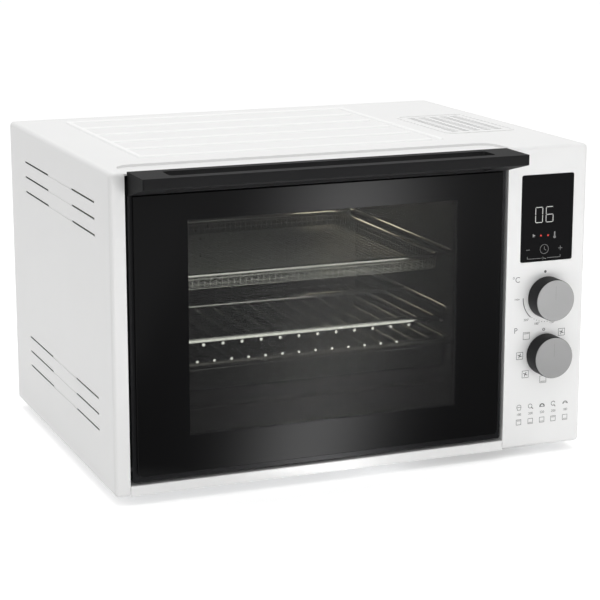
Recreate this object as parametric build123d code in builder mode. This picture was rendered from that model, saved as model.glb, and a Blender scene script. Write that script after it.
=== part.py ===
from build123d import *
import math
import os

os.makedirs("parts", exist_ok=True)

# A countertop convection oven, in millimetres.
# +Z is up, the user stands at -Y and +X is to the user's right.
# The origin is the middle of the whole object's footprint, on the worktop.

# Shell, bent from painted sheet
shell_width = 530
shell_depth = 397
shell_height = 330
sheet = 1.0
side_bend = 5
bottom_bend = 4.5
front_bend = 4
return_flange = 10
left_strip_width = 16
control_width = 94.5
jamb_depth = 28

# Step in the top sheet behind the handle, and the folded hem at its front
recess_depth = 2.5
recess_run = 44
recess_corner = 20
top_lip_setback = 4.5
hem_width = 10

# Ribs pressed into the top
rib_count = 6
rib_pitch = 54.8
rib_width = 7
rib_height = 1.4
first_rib_run = 84
rib_left_x = -207
rib_right_x = 118
border_rib_x = 131

# Vent in the top, over the electronics bay
top_vent_x = 200
top_vent_run = 190
top_vent_columns = 5
top_vent_rows = 14
top_vent_pitch_x = 13.5
top_vent_pitch_y = 8.6
top_vent_slot = 9.5
top_vent_slot_width = 3.2
vent_frame_width = 85
vent_frame_depth = 146
vent_frame_line = 3
vent_frame_height = 0.6
vent_frame_corner = 12

# Slots pressed into both sides
slot_height = 2
slot_front_run = 52.5
slot_front_length = 86
slot_rear_run = 233
slot_rear_length = 98
slot_row_pitch = 16.8
upper_slot_rise = 292.7
lower_slot_rise = 90.6
slot_rows = 3
groove_depth = 0.45

# Air slots in the underside, in the rear bulge and behind the electronics bay
air_slot_width = 4
rear_slot_pitch = 11
pan_slot_length = 42
pan_slot_pitch_x = 60
pan_slot_pitch_y = 26
pan_slots_across = 6
pan_slots_along = 8
bulge_slot_length = 44
bulge_slot_pitch = 54
bulge_slots_across = 3
bulge_slots_up = 11
bay_slot_length = 32
bay_slot_pitch = 40
bay_slots_across = 2
bay_slots_up = 12
bay_slots_inward = 15
bay_slots_lift = 20

# Stance
foot_height = 10
foot_radius = 13
foot_inset = 52
foot_chamfer = 1.5

# Gaps
seat_gap = 0.3
running_gap = 0.05
door_gap = 3
seam = 0.4
weld_gap = 0.05

# Bottom rail under the door, and the upstand round the base pan
rail_height = 10.5
pan_upstand = 12

# Door
door_setback = 1.5
door_inner_run = 24
frame_wall = 3
frame_corner = 2
glass_thickness = 4
glass_side_margin = 4.5
glass_bottom_margin = 6
glass_corner = 6
glass_edge = 0.5
window_width = 300
window_height = 218.4
window_rise = 57.8
window_shift = 2.5
window_lap = 10
inner_glass_lap = 12
inner_panel_lift = 1.5
clip_spread = 85
clip_length = 16
clip_lap = 7
clip_foot = 9
hinge_run = 9
hinge_rise = 26
door_bottom_wall_run = 16
door_heel_height = 8

# Handle across the top of the door
handle_reach = 50
handle_front_height = 10.5
handle_root_height = 24
handle_bar = 13
handle_slot_rear = 10
handle_slot_end = 31.5
handle_slot_corner = 4
handle_edge = 1.2
handle_screw_drop = 16

# Hinges
pin_radius = 3
pin_head_radius = 5
pin_head = 2
hinge_plate = 2.2
hinge_plate_height = 56
hinge_foot = 10
hinge_spring_length = 7
hinge_spring_wall = 0.9
arm_thickness = 2.5
arm_height = 92
arm_width = 12
arm_corner = 2

# Cooking space
cavity_width = 372
cavity_height = 248
cavity_rise = 42
cavity_depth = 317
cavity_corner = 10
mouth_flange = 12.5
seal_width = 8
seal_offset = 3
seal_chamfer = 1.2
back_flange = 10
outlet_offset = 100
outlet_length = 28
outlet_pitch_x = 12
outlet_pitch_z = 40
outlets_across = 2
outlets_up = 3

# Runners on the side walls
runner_reach = 8
runner_lip = 3
runner_root = 8
runner_front_run = 34
runner_rear_gap = 4

# Wire rack
rack_rise = 143
rack_run = 44
rack_half_width = 180.5
rack_rear_gap = 8
rack_rod = 3
rack_wire = 1.7
rack_wire_count = 16
rack_wire_pitch = 21.1
rack_front_corner = 45
rack_rear_corner = 18
weld_depth = 0.4

# Tray and the low grid that lies on it
tray_rise = 113.5
tray_run = 40
tray_half_width = 180
tray_rear_gap = 4
tray_flange = 10
tray_depth = 27
tray_taper = 6
tray_corner = 14
tray_bottom_bend = 4
grid_rod = 2.5
grid_wire = 1.5
grid_wire_count = 18
grid_wire_pitch = 18.8
grid_half_width = 172
grid_run = 49

# Air-frying basket
basket_rise = 209.5
basket_run = 53
basket_half_width = 157.5
basket_rear_gap = 12
basket_corner = 14
basket_rod = 2
basket_height = 14
basket_mesh = 1.2
basket_gaps_x = 16
basket_gaps_y = 14
basket_mesh_bar = 2.2
hanger_half_width = 180.5
hanger_rear_gap = 4
hanger_start = 9
hanger_bend = 8

# Heating elements
element_radius = 3.25
element_from_wall = 15
lower_element_rise = 14
element_front_run = 100
element_rear_run = 275
element_bend = 30
element_left_margin = 32
element_tail = 12
element_clearance = 1

# Insulation and the wall of the electronics bay
insulation = 10
rear_insulation_hole = 88
partition_step = 4

# Fan at the back
fan_radius = 52
fan_width = 11
fan_blades = 12
fan_hub_radius = 11
fan_hub_setback = 3
fan_blade_margin = 4
fan_clearance = 3
nut_across = 8
nut_height = 3
housing_radius = 75
housing_flange = 10
housing_depth = 20
shaft_radius = 3
motor_size = 62
motor_depth = 17
motor_standoff = 4
motor_corner = 8
motor_post_inset = 7
motor_post_radius = 4
cooling_fan_radius = 42
cooling_fan_width = 9
cooling_fan_blades = 7
vane_root = 2
vane_tilt = 35
guard_hole_radius = 3.2
guard_ring_holes = 6
guard_rings = 4
guard_ring_pitch = 12

# Bulge of the rear panel over the motor
rear_bulge_depth = 18
rear_bulge_width = 190
rear_bulge_height = 170
rear_bulge_corner = 25
rear_bulge_edge = 2

# Lamp
lamp_x_from_center = 144
lamp_z_from_ceiling = 36
lamp_hole = 16
lamp_glass = 2
lamp_rim = 5
lamp_depth = 14
lamp_round = 6
bulb_radius = 8
bulb_round = 7
bulb_setback = 1
bulb_stem_radius = 6
bulb_stem = 4
holder_flange = 4
holder_radius = 14
holder_length = 20
holder_socket_depth = 10

# Fasteners and the cable entry
screw_shank = 1.6
screw_length = 9
screw_head = 3.4
screw_head_height = 2
screw_head_round = 0.9
handle_screw = 2
handle_screw_head = 3.6
handle_screw_length = 20
gland_radius = 8
gland_inset = 50
gland_rise = 40

# Controls
display_width = 62
display_height = 93.6
display_top_margin = 30.5
display_thickness = 3
display_proud = 0.3
display_corner = 2
board_margin = 2
module_margin = 8
board_post_inset = 7
knob_offset = 1.5
upper_knob_rise = 166.4
knob_spacing = 63.1
knob_radius = 22.5
knob_depth = 20
knob_gap = 1.2
knob_wall = 2.5
knob_edge = 0.4
cap_thickness = 0.8
spindle_radius = 3
spindle_hub = 6.5
bush_radius = 5
bush_reach = 2
bush_clearance = 1
spindle_depth = 14
switch_corner = 3
thermostat_size = 30
thermostat_depth = 22
function_switch_size = 36
function_switch_depth = 26
carrier_run = 14
carrier_thickness = 2.5
carrier_bottom = 78
carrier_top = 330
carrier_side_gap = 3
post_radius = 3.5
board_thickness = 1.6
board_standoff = 3

# Electrical pieces in the bay
power_board_leg = 8
power_board_leg_radius = 3
power_board_leg_inset = 5
power_board_shift = 2
power_board_run = 140
power_board_width = 84
power_board_length = 130
terminal_inset = 42
terminal_width = 42
terminal_length = 20
terminal_height = 16
terminal_ways = 3
terminal_well = 3
gland_nut = 4
gland_flange = 3
gland_bore_radius = 4
cutout_run = 150
cutout_rise = 60
cutout_flange_length = 34
cutout_flange_width = 14
cutout_radius = 8
cutout_height = 9
tab_pitch = 9
tab_width = 6
tab_thickness = 1
tab_length = 7

# Places worked out from the sizes above
overall_depth = handle_reach + shell_depth + rear_bulge_depth
front_y = handle_reach - overall_depth / 2
back_y = front_y + shell_depth
base_z = foot_height
top_z = base_z + shell_height
left_x = -shell_width / 2
right_x = shell_width / 2
opening_left = left_x + left_strip_width
opening_right = right_x - control_width
opening_width = opening_right - opening_left
door_x = (opening_left + opening_right) / 2
door_width = opening_width - 2 * door_gap
recess_z = top_z - recess_depth
lip_z = recess_z - 2 * sheet
pan_z = base_z + 2 * sheet
ledge_z = base_z + rail_height
door_bottom = ledge_z + door_gap
door_top = lip_z - door_gap
frame_front_y = front_y + door_setback
door_back_y = front_y + door_inner_run
glass_front_y = frame_front_y - glass_thickness
handle_front_y = front_y - handle_reach
hinge_y = front_y + hinge_run
hinge_z = base_z + hinge_rise
window_x = door_x + window_shift
window_z = base_z + window_rise + window_height / 2
mouth_y = front_y + jamb_depth
cavity_front_y = mouth_y + sheet
cavity_back_y = cavity_front_y + cavity_depth
floor_z = base_z + cavity_rise
ceiling_z = floor_z + cavity_height
cavity_z = (floor_z + ceiling_z) / 2
wall_half = cavity_width / 2
bay_x = door_x + wall_half + sheet + insulation
control_x = (opening_right + right_x) / 2
knob_x = control_x + knob_offset
upper_knob_z = base_z + upper_knob_rise
lower_knob_z = upper_knob_z - knob_spacing
display_z = top_z - display_top_margin - display_height / 2
fan_z = cavity_z
gland_x = right_x - gland_inset
gland_z = base_z + gland_rise
screw_places = []
for side in (-1, 1):
    for share in (0.15, 0.5, 0.85):
        screw_places.append((side * (shell_width - return_flange) / 2, base_z + share * shell_height))
for share in (-0.25, 0, 0.25):
    screw_places.append((share * shell_width, top_z - return_flange / 2))


def upright(y):
    """Plane at depth y that faces the user: local x runs right and local y up."""
    return Plane.XZ.offset(-y)


def sideways(x):
    """Plane at width x: local x runs to the back and local y up."""
    return Plane.YZ.offset(x)


# Outer wrap: top, sides and front strips in one bent and welded sheet, open below
with BuildPart() as outer_wrap:
    with BuildSketch(upright(front_y)) as shell_face:
        with Locations((0, base_z + shell_height / 2)):
            Rectangle(shell_width, shell_height)
        fillet(shell_face.vertices().group_by(Axis.Y)[-1], side_bend)
        fillet(shell_face.vertices().group_by(Axis.Y)[0], bottom_bend)
    extrude(amount=-shell_depth)
    front_edges = outer_wrap.faces().sort_by(Axis.Y)[0].edges()
    fillet(front_edges, front_bend)
    offset(amount=-sheet, mode=Mode.SUBTRACT)
    # Rear and underside stay open inside a return flange
    with BuildSketch(upright(back_y - sheet)) as rear_opening:
        with Locations((0, base_z + (shell_height - return_flange) / 2)):
            Rectangle(shell_width - 2 * return_flange, shell_height - return_flange)
    extrude(amount=-sheet, mode=Mode.SUBTRACT)
    with BuildSketch(Plane.XY.offset(base_z)) as under_opening:
        with Locations((0, front_y + shell_depth / 2 + return_flange / 2)):
            Rectangle(shell_width - 2 * return_flange, shell_depth - return_flange)
    extrude(amount=sheet, mode=Mode.SUBTRACT)
    # Door opening through the front, up to the lip of the top sheet
    with BuildSketch(upright(front_y)) as door_opening:
        with Locations((door_x, base_z + shell_height / 2)):
            Rectangle(opening_width, shell_height)
    extrude(amount=-top_lip_setback, mode=Mode.SUBTRACT)
    with BuildSketch(Plane.XY.offset(base_z)) as rail_gap:
        with Locations((door_x, front_y + return_flange / 2)):
            Rectangle(opening_width, return_flange)
    extrude(amount=sheet, mode=Mode.SUBTRACT)
    # Shallow step in the top behind the handle, as wide as the door opening
    step_run = recess_run - top_lip_setback
    step_y = front_y + top_lip_setback + step_run / 2
    with BuildSketch(Plane.XY.offset(recess_z - sheet)) as step_pan:
        with Locations((door_x, step_y + sheet / 2)):
            Rectangle(opening_width + 2 * sheet, step_run + sheet)
        fillet(step_pan.vertices().group_by(Axis.Y)[-1], recess_corner + sheet)
    extrude(amount=recess_depth + sheet)
    with BuildSketch(Plane.XY.offset(recess_z)) as step_floor:
        with Locations((door_x, step_y)):
            Rectangle(opening_width, step_run)
        fillet(step_floor.vertices().group_by(Axis.Y)[-1], recess_corner)
    extrude(amount=recess_depth, mode=Mode.SUBTRACT)
    with BuildSketch(Plane.XY.offset(lip_z)) as hem:
        with Locations((door_x, front_y + top_lip_setback + hem_width / 2)):
            Rectangle(opening_width, hem_width)
    extrude(amount=sheet)
    # Jambs turned back from the strip and from the control face
    for jamb_x in (opening_left - sheet / 2, opening_right + sheet / 2):
        with BuildSketch(upright(front_y + sheet / 2)) as jamb:
            with Locations((jamb_x, (pan_z + recess_z) / 2)):
                Rectangle(sheet, recess_z - pan_z)
        extrude(amount=-(jamb_depth - sheet / 2))
    # Clearance holes for the hinge pins
    with BuildSketch(sideways(opening_left - 2 * sheet)) as pin_holes:
        with Locations((hinge_y, hinge_z)):
            Circle(pin_radius + seat_gap)
    extrude(amount=opening_width + 4 * sheet, mode=Mode.SUBTRACT)
    # Raised ribs across the top, a rib down each end
    rib_last_run = first_rib_run + (rib_count - 1) * rib_pitch
    rib_middle_run = (first_rib_run + rib_last_run) / 2
    for rib in range(rib_count):
        reach = border_rib_x if rib == rib_count - 1 else rib_right_x
        with BuildSketch(Plane.XY.offset(top_z)) as rib_foot:
            with Locations(((rib_left_x + reach) / 2, front_y + first_rib_run + rib * rib_pitch)):
                SlotOverall(reach - rib_left_x + rib_width, rib_width)
        extrude(amount=rib_height, taper=45)
    for end_x in (rib_left_x, border_rib_x):
        with BuildSketch(Plane.XY.offset(top_z)) as end_foot:
            with Locations((end_x, front_y + rib_middle_run)):
                SlotOverall(rib_last_run - first_rib_run + rib_width, rib_width, rotation=90)
        extrude(amount=rib_height, taper=45)
    # Vent over the electronics, inside a raised frame line
    vent_y = front_y + top_vent_run
    with BuildSketch(Plane.XY.offset(top_z)) as vent_frame:
        with Locations((top_vent_x, vent_y)):
            RectangleRounded(vent_frame_width, vent_frame_depth, vent_frame_corner)
            RectangleRounded(vent_frame_width - 2 * vent_frame_line, vent_frame_depth - 2 * vent_frame_line,
                             vent_frame_corner - vent_frame_line, mode=Mode.SUBTRACT)
    extrude(amount=vent_frame_height)
    with BuildSketch(Plane.XY.offset(top_z - sheet)) as vent_slots:
        with Locations((top_vent_x, vent_y)):
            with GridLocations(top_vent_pitch_x, top_vent_pitch_y, top_vent_columns, top_vent_rows):
                SlotOverall(top_vent_slot, top_vent_slot_width)
    extrude(amount=sheet, mode=Mode.SUBTRACT)
    # Two groups of three slot rows on each side, the two slots of a row joined by a groove
    groove_start = slot_front_run + slot_front_length
    for rise in (upper_slot_rise, lower_slot_rise):
        for row in range(slot_rows):
            row_z = base_z + rise - row * slot_row_pitch
            with BuildSketch(sideways(left_x)) as slot_row:
                with Locations((front_y + slot_front_run + slot_front_length / 2, row_z)):
                    SlotOverall(slot_front_length, slot_height)
                with Locations((front_y + slot_rear_run + slot_rear_length / 2, row_z)):
                    SlotOverall(slot_rear_length, slot_height)
            extrude(amount=shell_width, mode=Mode.SUBTRACT)
            for outer_x, inward in ((left_x, 1), (right_x, -1)):
                with BuildSketch(sideways(outer_x)) as groove:
                    with Locations((front_y + (groove_start + slot_rear_run) / 2, row_z)):
                        Rectangle(slot_rear_run - groove_start + slot_height, slot_height)
                extrude(amount=inward * groove_depth, mode=Mode.SUBTRACT)
    # Display cut-out and spindle holes in the control face
    with BuildSketch(upright(front_y)) as control_holes:
        with Locations((control_x, display_z)):
            RectangleRounded(display_width + 2 * seat_gap, display_height + 2 * seat_gap,
                             display_corner + seat_gap)
        with Locations((knob_x, upper_knob_z), (knob_x, lower_knob_z)):
            Circle(bush_radius + bush_clearance)
    extrude(amount=-sheet, mode=Mode.SUBTRACT)
    with BuildSketch(upright(back_y - sheet)) as flange_holes:
        with Locations(*screw_places):
            Circle(screw_shank + seat_gap)
    extrude(amount=-sheet, mode=Mode.SUBTRACT)
outer_wrap.part.label = "outer_wrap"
export_step(outer_wrap.part, "parts/outer_wrap.step")

# Bottom rail: the sill below the door, between the strip and the control face
with BuildPart() as bottom_rail:
    with BuildSketch(sideways(opening_left + seam)) as rail_section:
        with BuildLine():
            Polyline(
                (front_y, base_z),
                (front_y, ledge_z),
                (mouth_y, ledge_z),
                (mouth_y, ledge_z - sheet),
                (front_y + sheet, ledge_z - sheet),
                (front_y + sheet, base_z),
                close=True,
            )
        make_face()
        top_front = rail_section.vertices().group_by(Axis.Y)[-1].sort_by(Axis.X)[0]
        fillet(top_front, sheet)
    extrude(amount=opening_width - 2 * seam)
bottom_rail.part.label = "bottom_rail"
export_step(bottom_rail.part, "parts/bottom_rail.step")

# Base pan: lies on the shell's lower flanges, with an upstand and rows of air slots
pan_width = shell_width - 2 * sheet - 2 * seat_gap
pan_front_y = front_y + front_bend + seat_gap
pan_rear_y = back_y - 2 * sheet - seat_gap
pan_middle_y = (pan_front_y + pan_rear_y) / 2
with BuildPart() as base_pan:
    with BuildSketch(Plane.XY.offset(base_z + sheet)) as pan_floor:
        with Locations((0, pan_middle_y)):
            Rectangle(pan_width - 2 * bottom_bend, pan_rear_y - pan_front_y)
    extrude(amount=sheet)
    with BuildSketch(Plane.XY.offset(base_z + sheet)) as pan_walls:
        with Locations((0, pan_rear_y - sheet / 2)):
            Rectangle(pan_width - 2 * bottom_bend, sheet)
        for side in (-1, 1):
            with Locations((side * (pan_width / 2 - bottom_bend - sheet / 2), pan_middle_y)):
                Rectangle(sheet, pan_rear_y - pan_front_y - 2 * jamb_depth)
    extrude(amount=pan_upstand)
    with BuildSketch(Plane.XY.offset(base_z + sheet)) as pan_slots:
        with Locations((0, front_y + shell_depth / 2)):
            with GridLocations(pan_slot_pitch_x, pan_slot_pitch_y, pan_slots_across, pan_slots_along):
                SlotOverall(pan_slot_length, air_slot_width)
    extrude(amount=sheet, mode=Mode.SUBTRACT)
base_pan.part.label = "base_pan"
export_step(base_pan.part, "parts/base_pan.step")

# Feet: four rubber buttons under the base pan
foot_spread_x = shell_width - 2 * foot_inset
foot_spread_y = shell_depth - 2 * foot_inset
with BuildPart() as feet:
    with BuildSketch() as foot_tread:
        with Locations((0, front_y + shell_depth / 2)):
            with GridLocations(foot_spread_x, foot_spread_y, 2, 2):
                Circle(foot_radius)
    extrude(amount=foot_height + sheet)
    chamfer(feet.edges().group_by(Axis.Z)[0], foot_chamfer)
feet.part.label = "feet"
export_step(feet.part, "parts/feet.step")

# Rear panel: vented sheet inside the rear flanges, pressed out over the motor
panel_y = back_y - 2 * sheet
bulge_back_y = back_y + rear_bulge_depth
with BuildPart() as rear_panel:
    with BuildSketch(upright(panel_y)) as panel_face:
        with Locations((0, base_z + shell_height / 2)):
            Rectangle(shell_width - 2 * sheet - 2 * seat_gap, shell_height - 2 * sheet - 2 * seat_gap)
        fillet(panel_face.vertices(), side_bend)
    extrude(amount=-sheet)
    with BuildSketch(upright(panel_y)) as bulge_outline:
        with Locations((door_x, fan_z)):
            RectangleRounded(rear_bulge_width, rear_bulge_height, rear_bulge_corner)
    extrude(amount=-(bulge_back_y - panel_y))
    fillet(rear_panel.faces().sort_by(Axis.Y)[-1].edges(), rear_bulge_edge)
    with BuildSketch(upright(panel_y)) as bulge_hollow:
        with Locations((door_x, fan_z)):
            RectangleRounded(rear_bulge_width - 2 * sheet, rear_bulge_height - 2 * sheet,
                             rear_bulge_corner - sheet)
    extrude(amount=-(bulge_back_y - panel_y - sheet), mode=Mode.SUBTRACT)
    # Air slots over the fan and beside it
    with BuildSketch(upright(bulge_back_y - sheet)) as bulge_slots:
        with Locations((door_x, fan_z)):
            with GridLocations(bulge_slot_pitch, rear_slot_pitch, bulge_slots_across, bulge_slots_up):
                SlotOverall(bulge_slot_length, air_slot_width)
    extrude(amount=-sheet, mode=Mode.SUBTRACT)
    with BuildSketch(upright(panel_y)) as bay_slots:
        with Locations((control_x - bay_slots_inward, fan_z + bay_slots_lift)):
            with GridLocations(bay_slot_pitch, rear_slot_pitch, bay_slots_across, bay_slots_up):
                SlotOverall(bay_slot_length, air_slot_width)
        with Locations((gland_x, gland_z)):
            Circle(gland_radius + seat_gap)
        with Locations(*screw_places):
            Circle(screw_shank + seat_gap)
    extrude(amount=-sheet, mode=Mode.SUBTRACT)
rear_panel.part.label = "rear_panel"
export_step(rear_panel.part, "parts/rear_panel.step")

# Rear screws: pan heads that pull the rear flanges onto the rear panel
with BuildPart() as rear_screws:
    with BuildSketch(upright(back_y)) as screw_heads:
        with Locations(*screw_places):
            Circle(screw_head)
    extrude(amount=-screw_head_height)
    fillet(rear_screws.faces().filter_by(Plane.XZ).group_by(Axis.Y)[-1].edges(), screw_head_round)
    with BuildSketch(upright(back_y)) as screw_shanks:
        with Locations(*screw_places):
            Circle(screw_shank)
    extrude(amount=screw_length)
rear_screws.part.label = "rear_screws"
export_step(rear_screws.part, "parts/rear_screws.step")

# Cavity front frame: flat enamelled frame round the mouth of the cooking space
frame_left = left_x + 2 * sheet + seat_gap
frame_right = opening_right + sheet + mouth_flange
frame_top = recess_z - sheet - seat_gap
with BuildPart() as cavity_front_frame:
    with BuildSketch(upright(mouth_y)) as mouth_plate:
        with Locations(((frame_left + frame_right) / 2, (pan_z + frame_top) / 2)):
            Rectangle(frame_right - frame_left, frame_top - pan_z)
        with Locations((door_x, cavity_z)):
            RectangleRounded(cavity_width, cavity_height, cavity_corner, mode=Mode.SUBTRACT)
    extrude(amount=-sheet)
cavity_front_frame.part.label = "cavity_front_frame"
export_step(cavity_front_frame.part, "parts/cavity_front_frame.step")

# Cavity wrap: floor, roof and side walls in one rounded tube
element_places = []
for element_z in (ceiling_z - element_from_wall, floor_z + lower_element_rise):
    for run in (element_front_run, element_rear_run):
        element_places.append((front_y + run, element_z))
with BuildPart() as cavity_wrap:
    with BuildSketch(upright(cavity_front_y)) as tube_section:
        with Locations((door_x, cavity_z)):
            RectangleRounded(cavity_width + 2 * sheet, cavity_height + 2 * sheet, cavity_corner + sheet)
            RectangleRounded(cavity_width, cavity_height, cavity_corner, mode=Mode.SUBTRACT)
    extrude(amount=-cavity_depth)
    with BuildSketch(sideways(door_x + wall_half)) as element_holes:
        with Locations(*element_places):
            Circle(element_radius + seat_gap)
    extrude(amount=sheet, mode=Mode.SUBTRACT)
cavity_wrap.part.label = "cavity_wrap"
export_step(cavity_wrap.part, "parts/cavity_wrap.step")

# Cavity back: rear wall with the fan guard holes, side outlets and the lamp hole
lamp_x = door_x + lamp_x_from_center
lamp_z = ceiling_z - lamp_z_from_ceiling
with BuildPart() as cavity_back:
    with BuildSketch(upright(cavity_back_y)) as back_face:
        with Locations((door_x, cavity_z)):
            RectangleRounded(cavity_width + 2 * back_flange, cavity_height + 2 * back_flange,
                             cavity_corner + back_flange)
    extrude(amount=-sheet)
    with BuildSketch(upright(cavity_back_y)) as back_holes:
        with Locations((door_x, fan_z)):
            for ring in range(1, guard_rings + 1):
                with PolarLocations(ring * guard_ring_pitch, ring * guard_ring_holes):
                    Circle(guard_hole_radius)
        for side in (-1, 1):
            with Locations((door_x + side * outlet_offset, fan_z)):
                with GridLocations(outlet_pitch_x, outlet_pitch_z, outlets_across, outlets_up):
                    SlotOverall(outlet_length, air_slot_width, rotation=90)
        with Locations((lamp_x, lamp_z)):
            Circle(lamp_hole)
    extrude(amount=-sheet, mode=Mode.SUBTRACT)
cavity_back.part.label = "cavity_back"
export_step(cavity_back.part, "parts/cavity_back.step")

# Runners: three pressed ledges on each wall, for the tray, the rack and the basket
rack_z = base_z + rack_rise
tray_z = base_z + tray_rise
basket_z = base_z + basket_rise
runner_tops = (
    tray_z - sheet - seat_gap,
    rack_z - rack_rod - seat_gap,
    basket_z - basket_rod - seat_gap,
)
runner_start_y = front_y + runner_front_run
runner_length = cavity_back_y - runner_rear_gap - runner_start_y
with BuildPart() as runners:
    for side in (-1, 1):
        for runner_top in runner_tops:
            with BuildSketch(upright(runner_start_y)) as ledge:
                with BuildLine():
                    Polyline(
                        (door_x + side * wall_half, runner_top),
                        (door_x + side * (wall_half - runner_reach), runner_top),
                        (door_x + side * (wall_half - runner_reach), runner_top - runner_lip),
                        (door_x + side * wall_half, runner_top - runner_root),
                        close=True,
                    )
                make_face()
            extrude(amount=-runner_length)
runners.part.label = "runners"
export_step(runners.part, "parts/runners.step")

# Door seal: braided ring on the front frame that the closed door meets
seal_inner_width = cavity_width + 2 * seal_offset
seal_inner_height = cavity_height + 2 * seal_offset
with BuildPart() as door_seal:
    with BuildSketch(upright(door_back_y + seat_gap)) as seal_ring:
        with Locations((door_x, cavity_z)):
            RectangleRounded(seal_inner_width + 2 * seal_width, seal_inner_height + 2 * seal_width,
                             cavity_corner + seal_offset + seal_width)
            RectangleRounded(seal_inner_width, seal_inner_height, cavity_corner + seal_offset,
                             mode=Mode.SUBTRACT)
    extrude(amount=-(mouth_y - door_back_y - seat_gap))
    chamfer(door_seal.faces().sort_by(Axis.Y)[0].edges(), seal_chamfer)
door_seal.part.label = "door_seal"
export_step(door_seal.part, "parts/door_seal.step")

# Cavity insulation: mineral wool over the roof and both sides
blanket_width = cavity_width + 2 * sheet
with BuildPart() as cavity_insulation:
    with BuildSketch(upright(cavity_front_y)) as blanket:
        with Locations((door_x, cavity_z + insulation / 2)):
            RectangleRounded(blanket_width + 2 * insulation, cavity_height + 2 * sheet + insulation,
                             cavity_corner)
        with Locations((door_x, cavity_z)):
            RectangleRounded(blanket_width, cavity_height + 2 * sheet, cavity_corner + sheet,
                             mode=Mode.SUBTRACT)
            Rectangle(blanket_width, 2 * cavity_corner, align=(Align.CENTER, Align.CENTER),
                      mode=Mode.SUBTRACT)
        with Locations((door_x, floor_z - sheet)):
            Rectangle(blanket_width, 4 * cavity_corner, mode=Mode.SUBTRACT)
    extrude(amount=-cavity_depth)
    with BuildSketch(sideways(door_x + wall_half + sheet)) as blanket_holes:
        with Locations(*element_places):
            Circle(element_radius + element_clearance)
    extrude(amount=insulation, mode=Mode.SUBTRACT)
cavity_insulation.part.label = "cavity_insulation"
export_step(cavity_insulation.part, "parts/cavity_insulation.step")

# Rear insulation: board behind the cavity, open round the fan housing and the lamp
with BuildPart() as rear_insulation:
    with BuildSketch(upright(cavity_back_y + sheet)) as rear_blanket:
        with Locations((door_x, cavity_z)):
            RectangleRounded(cavity_width, cavity_height, cavity_corner)
        with Locations((door_x, fan_z)):
            Circle(rear_insulation_hole, mode=Mode.SUBTRACT)
        with Locations((lamp_x, lamp_z)):
            Circle(lamp_hole + lamp_rim + seat_gap, mode=Mode.SUBTRACT)
    extrude(amount=-insulation)
rear_insulation.part.label = "rear_insulation"
export_step(rear_insulation.part, "parts/rear_insulation.step")

# Inner partition: steel wall between the hot side and the electronics bay
with BuildPart() as inner_partition:
    with BuildSketch(sideways(bay_x)) as partition_face:
        with Locations(((cavity_front_y + panel_y - seat_gap) / 2, (pan_z + frame_top) / 2)):
            Rectangle(panel_y - seat_gap - cavity_front_y, frame_top - pan_z)
        with Locations(*element_places):
            Circle(element_radius + element_clearance, mode=Mode.SUBTRACT)
        # Step-over for the upstand at the rear of the base pan
        with Locations((panel_y, pan_z)):
            Rectangle(2 * partition_step, 2 * pan_upstand, mode=Mode.SUBTRACT)
    extrude(amount=sheet)
inner_partition.part.label = "inner_partition"
export_step(inner_partition.part, "parts/inner_partition.step")

# Heating elements: one bent rod under the roof and one over the floor
element_tail_x = bay_x + sheet + element_tail
element_left_x = door_x - wall_half + element_left_margin
for element_name, element_z in (
    ("upper_element", ceiling_z - element_from_wall),
    ("lower_element", floor_z + lower_element_rise),
):
    with BuildPart() as element:
        with BuildLine(Plane.XY.offset(element_z)) as element_route:
            FilletPolyline(
                (element_tail_x, front_y + element_front_run),
                (element_left_x, front_y + element_front_run),
                (element_left_x, front_y + element_rear_run),
                (element_tail_x, front_y + element_rear_run),
                radius=element_bend,
            )
        with BuildSketch(Plane(origin=element_route.line @ 0, z_dir=element_route.line % 0)):
            Circle(element_radius)
        sweep(path=element_route.line)
    element.part.label = element_name
    export_step(element.part, f"parts/{element_name}.step")

# Lamp: glass cover inside the cavity, bulb, and holder behind the rear wall
with BuildPart() as lamp_cover:
    with BuildSketch(upright(cavity_back_y)) as cover_rim:
        with Locations((lamp_x, lamp_z)):
            Circle(lamp_hole + lamp_rim)
            Circle(lamp_hole - lamp_glass, mode=Mode.SUBTRACT)
    extrude(amount=lamp_glass)
    with BuildSketch(upright(cavity_back_y)) as cover_body:
        with Locations((lamp_x, lamp_z)):
            Circle(lamp_hole)
    extrude(amount=lamp_depth)
    fillet(lamp_cover.faces().sort_by(Axis.Y)[0].edges(), lamp_round)
    with BuildSketch(upright(cavity_back_y)) as cover_hollow:
        with Locations((lamp_x, lamp_z)):
            Circle(lamp_hole - lamp_glass)
    extrude(amount=lamp_depth - lamp_glass, mode=Mode.SUBTRACT)
lamp_cover.part.label = "lamp_cover"
export_step(lamp_cover.part, "parts/lamp_cover.step")

bulb_y = cavity_back_y + bulb_setback
with BuildPart() as lamp_bulb:
    with BuildSketch(upright(bulb_y)) as bulb_section:
        with Locations((lamp_x, lamp_z)):
            Circle(bulb_radius)
    extrude(amount=bulb_radius)
    fillet(lamp_bulb.faces().sort_by(Axis.Y)[0].edges(), bulb_round)
    with BuildSketch(upright(bulb_y)) as stem_section:
        with Locations((lamp_x, lamp_z)):
            Circle(bulb_stem_radius)
    extrude(amount=-bulb_stem)
lamp_bulb.part.label = "lamp_bulb"
export_step(lamp_bulb.part, "parts/lamp_bulb.step")

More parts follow.
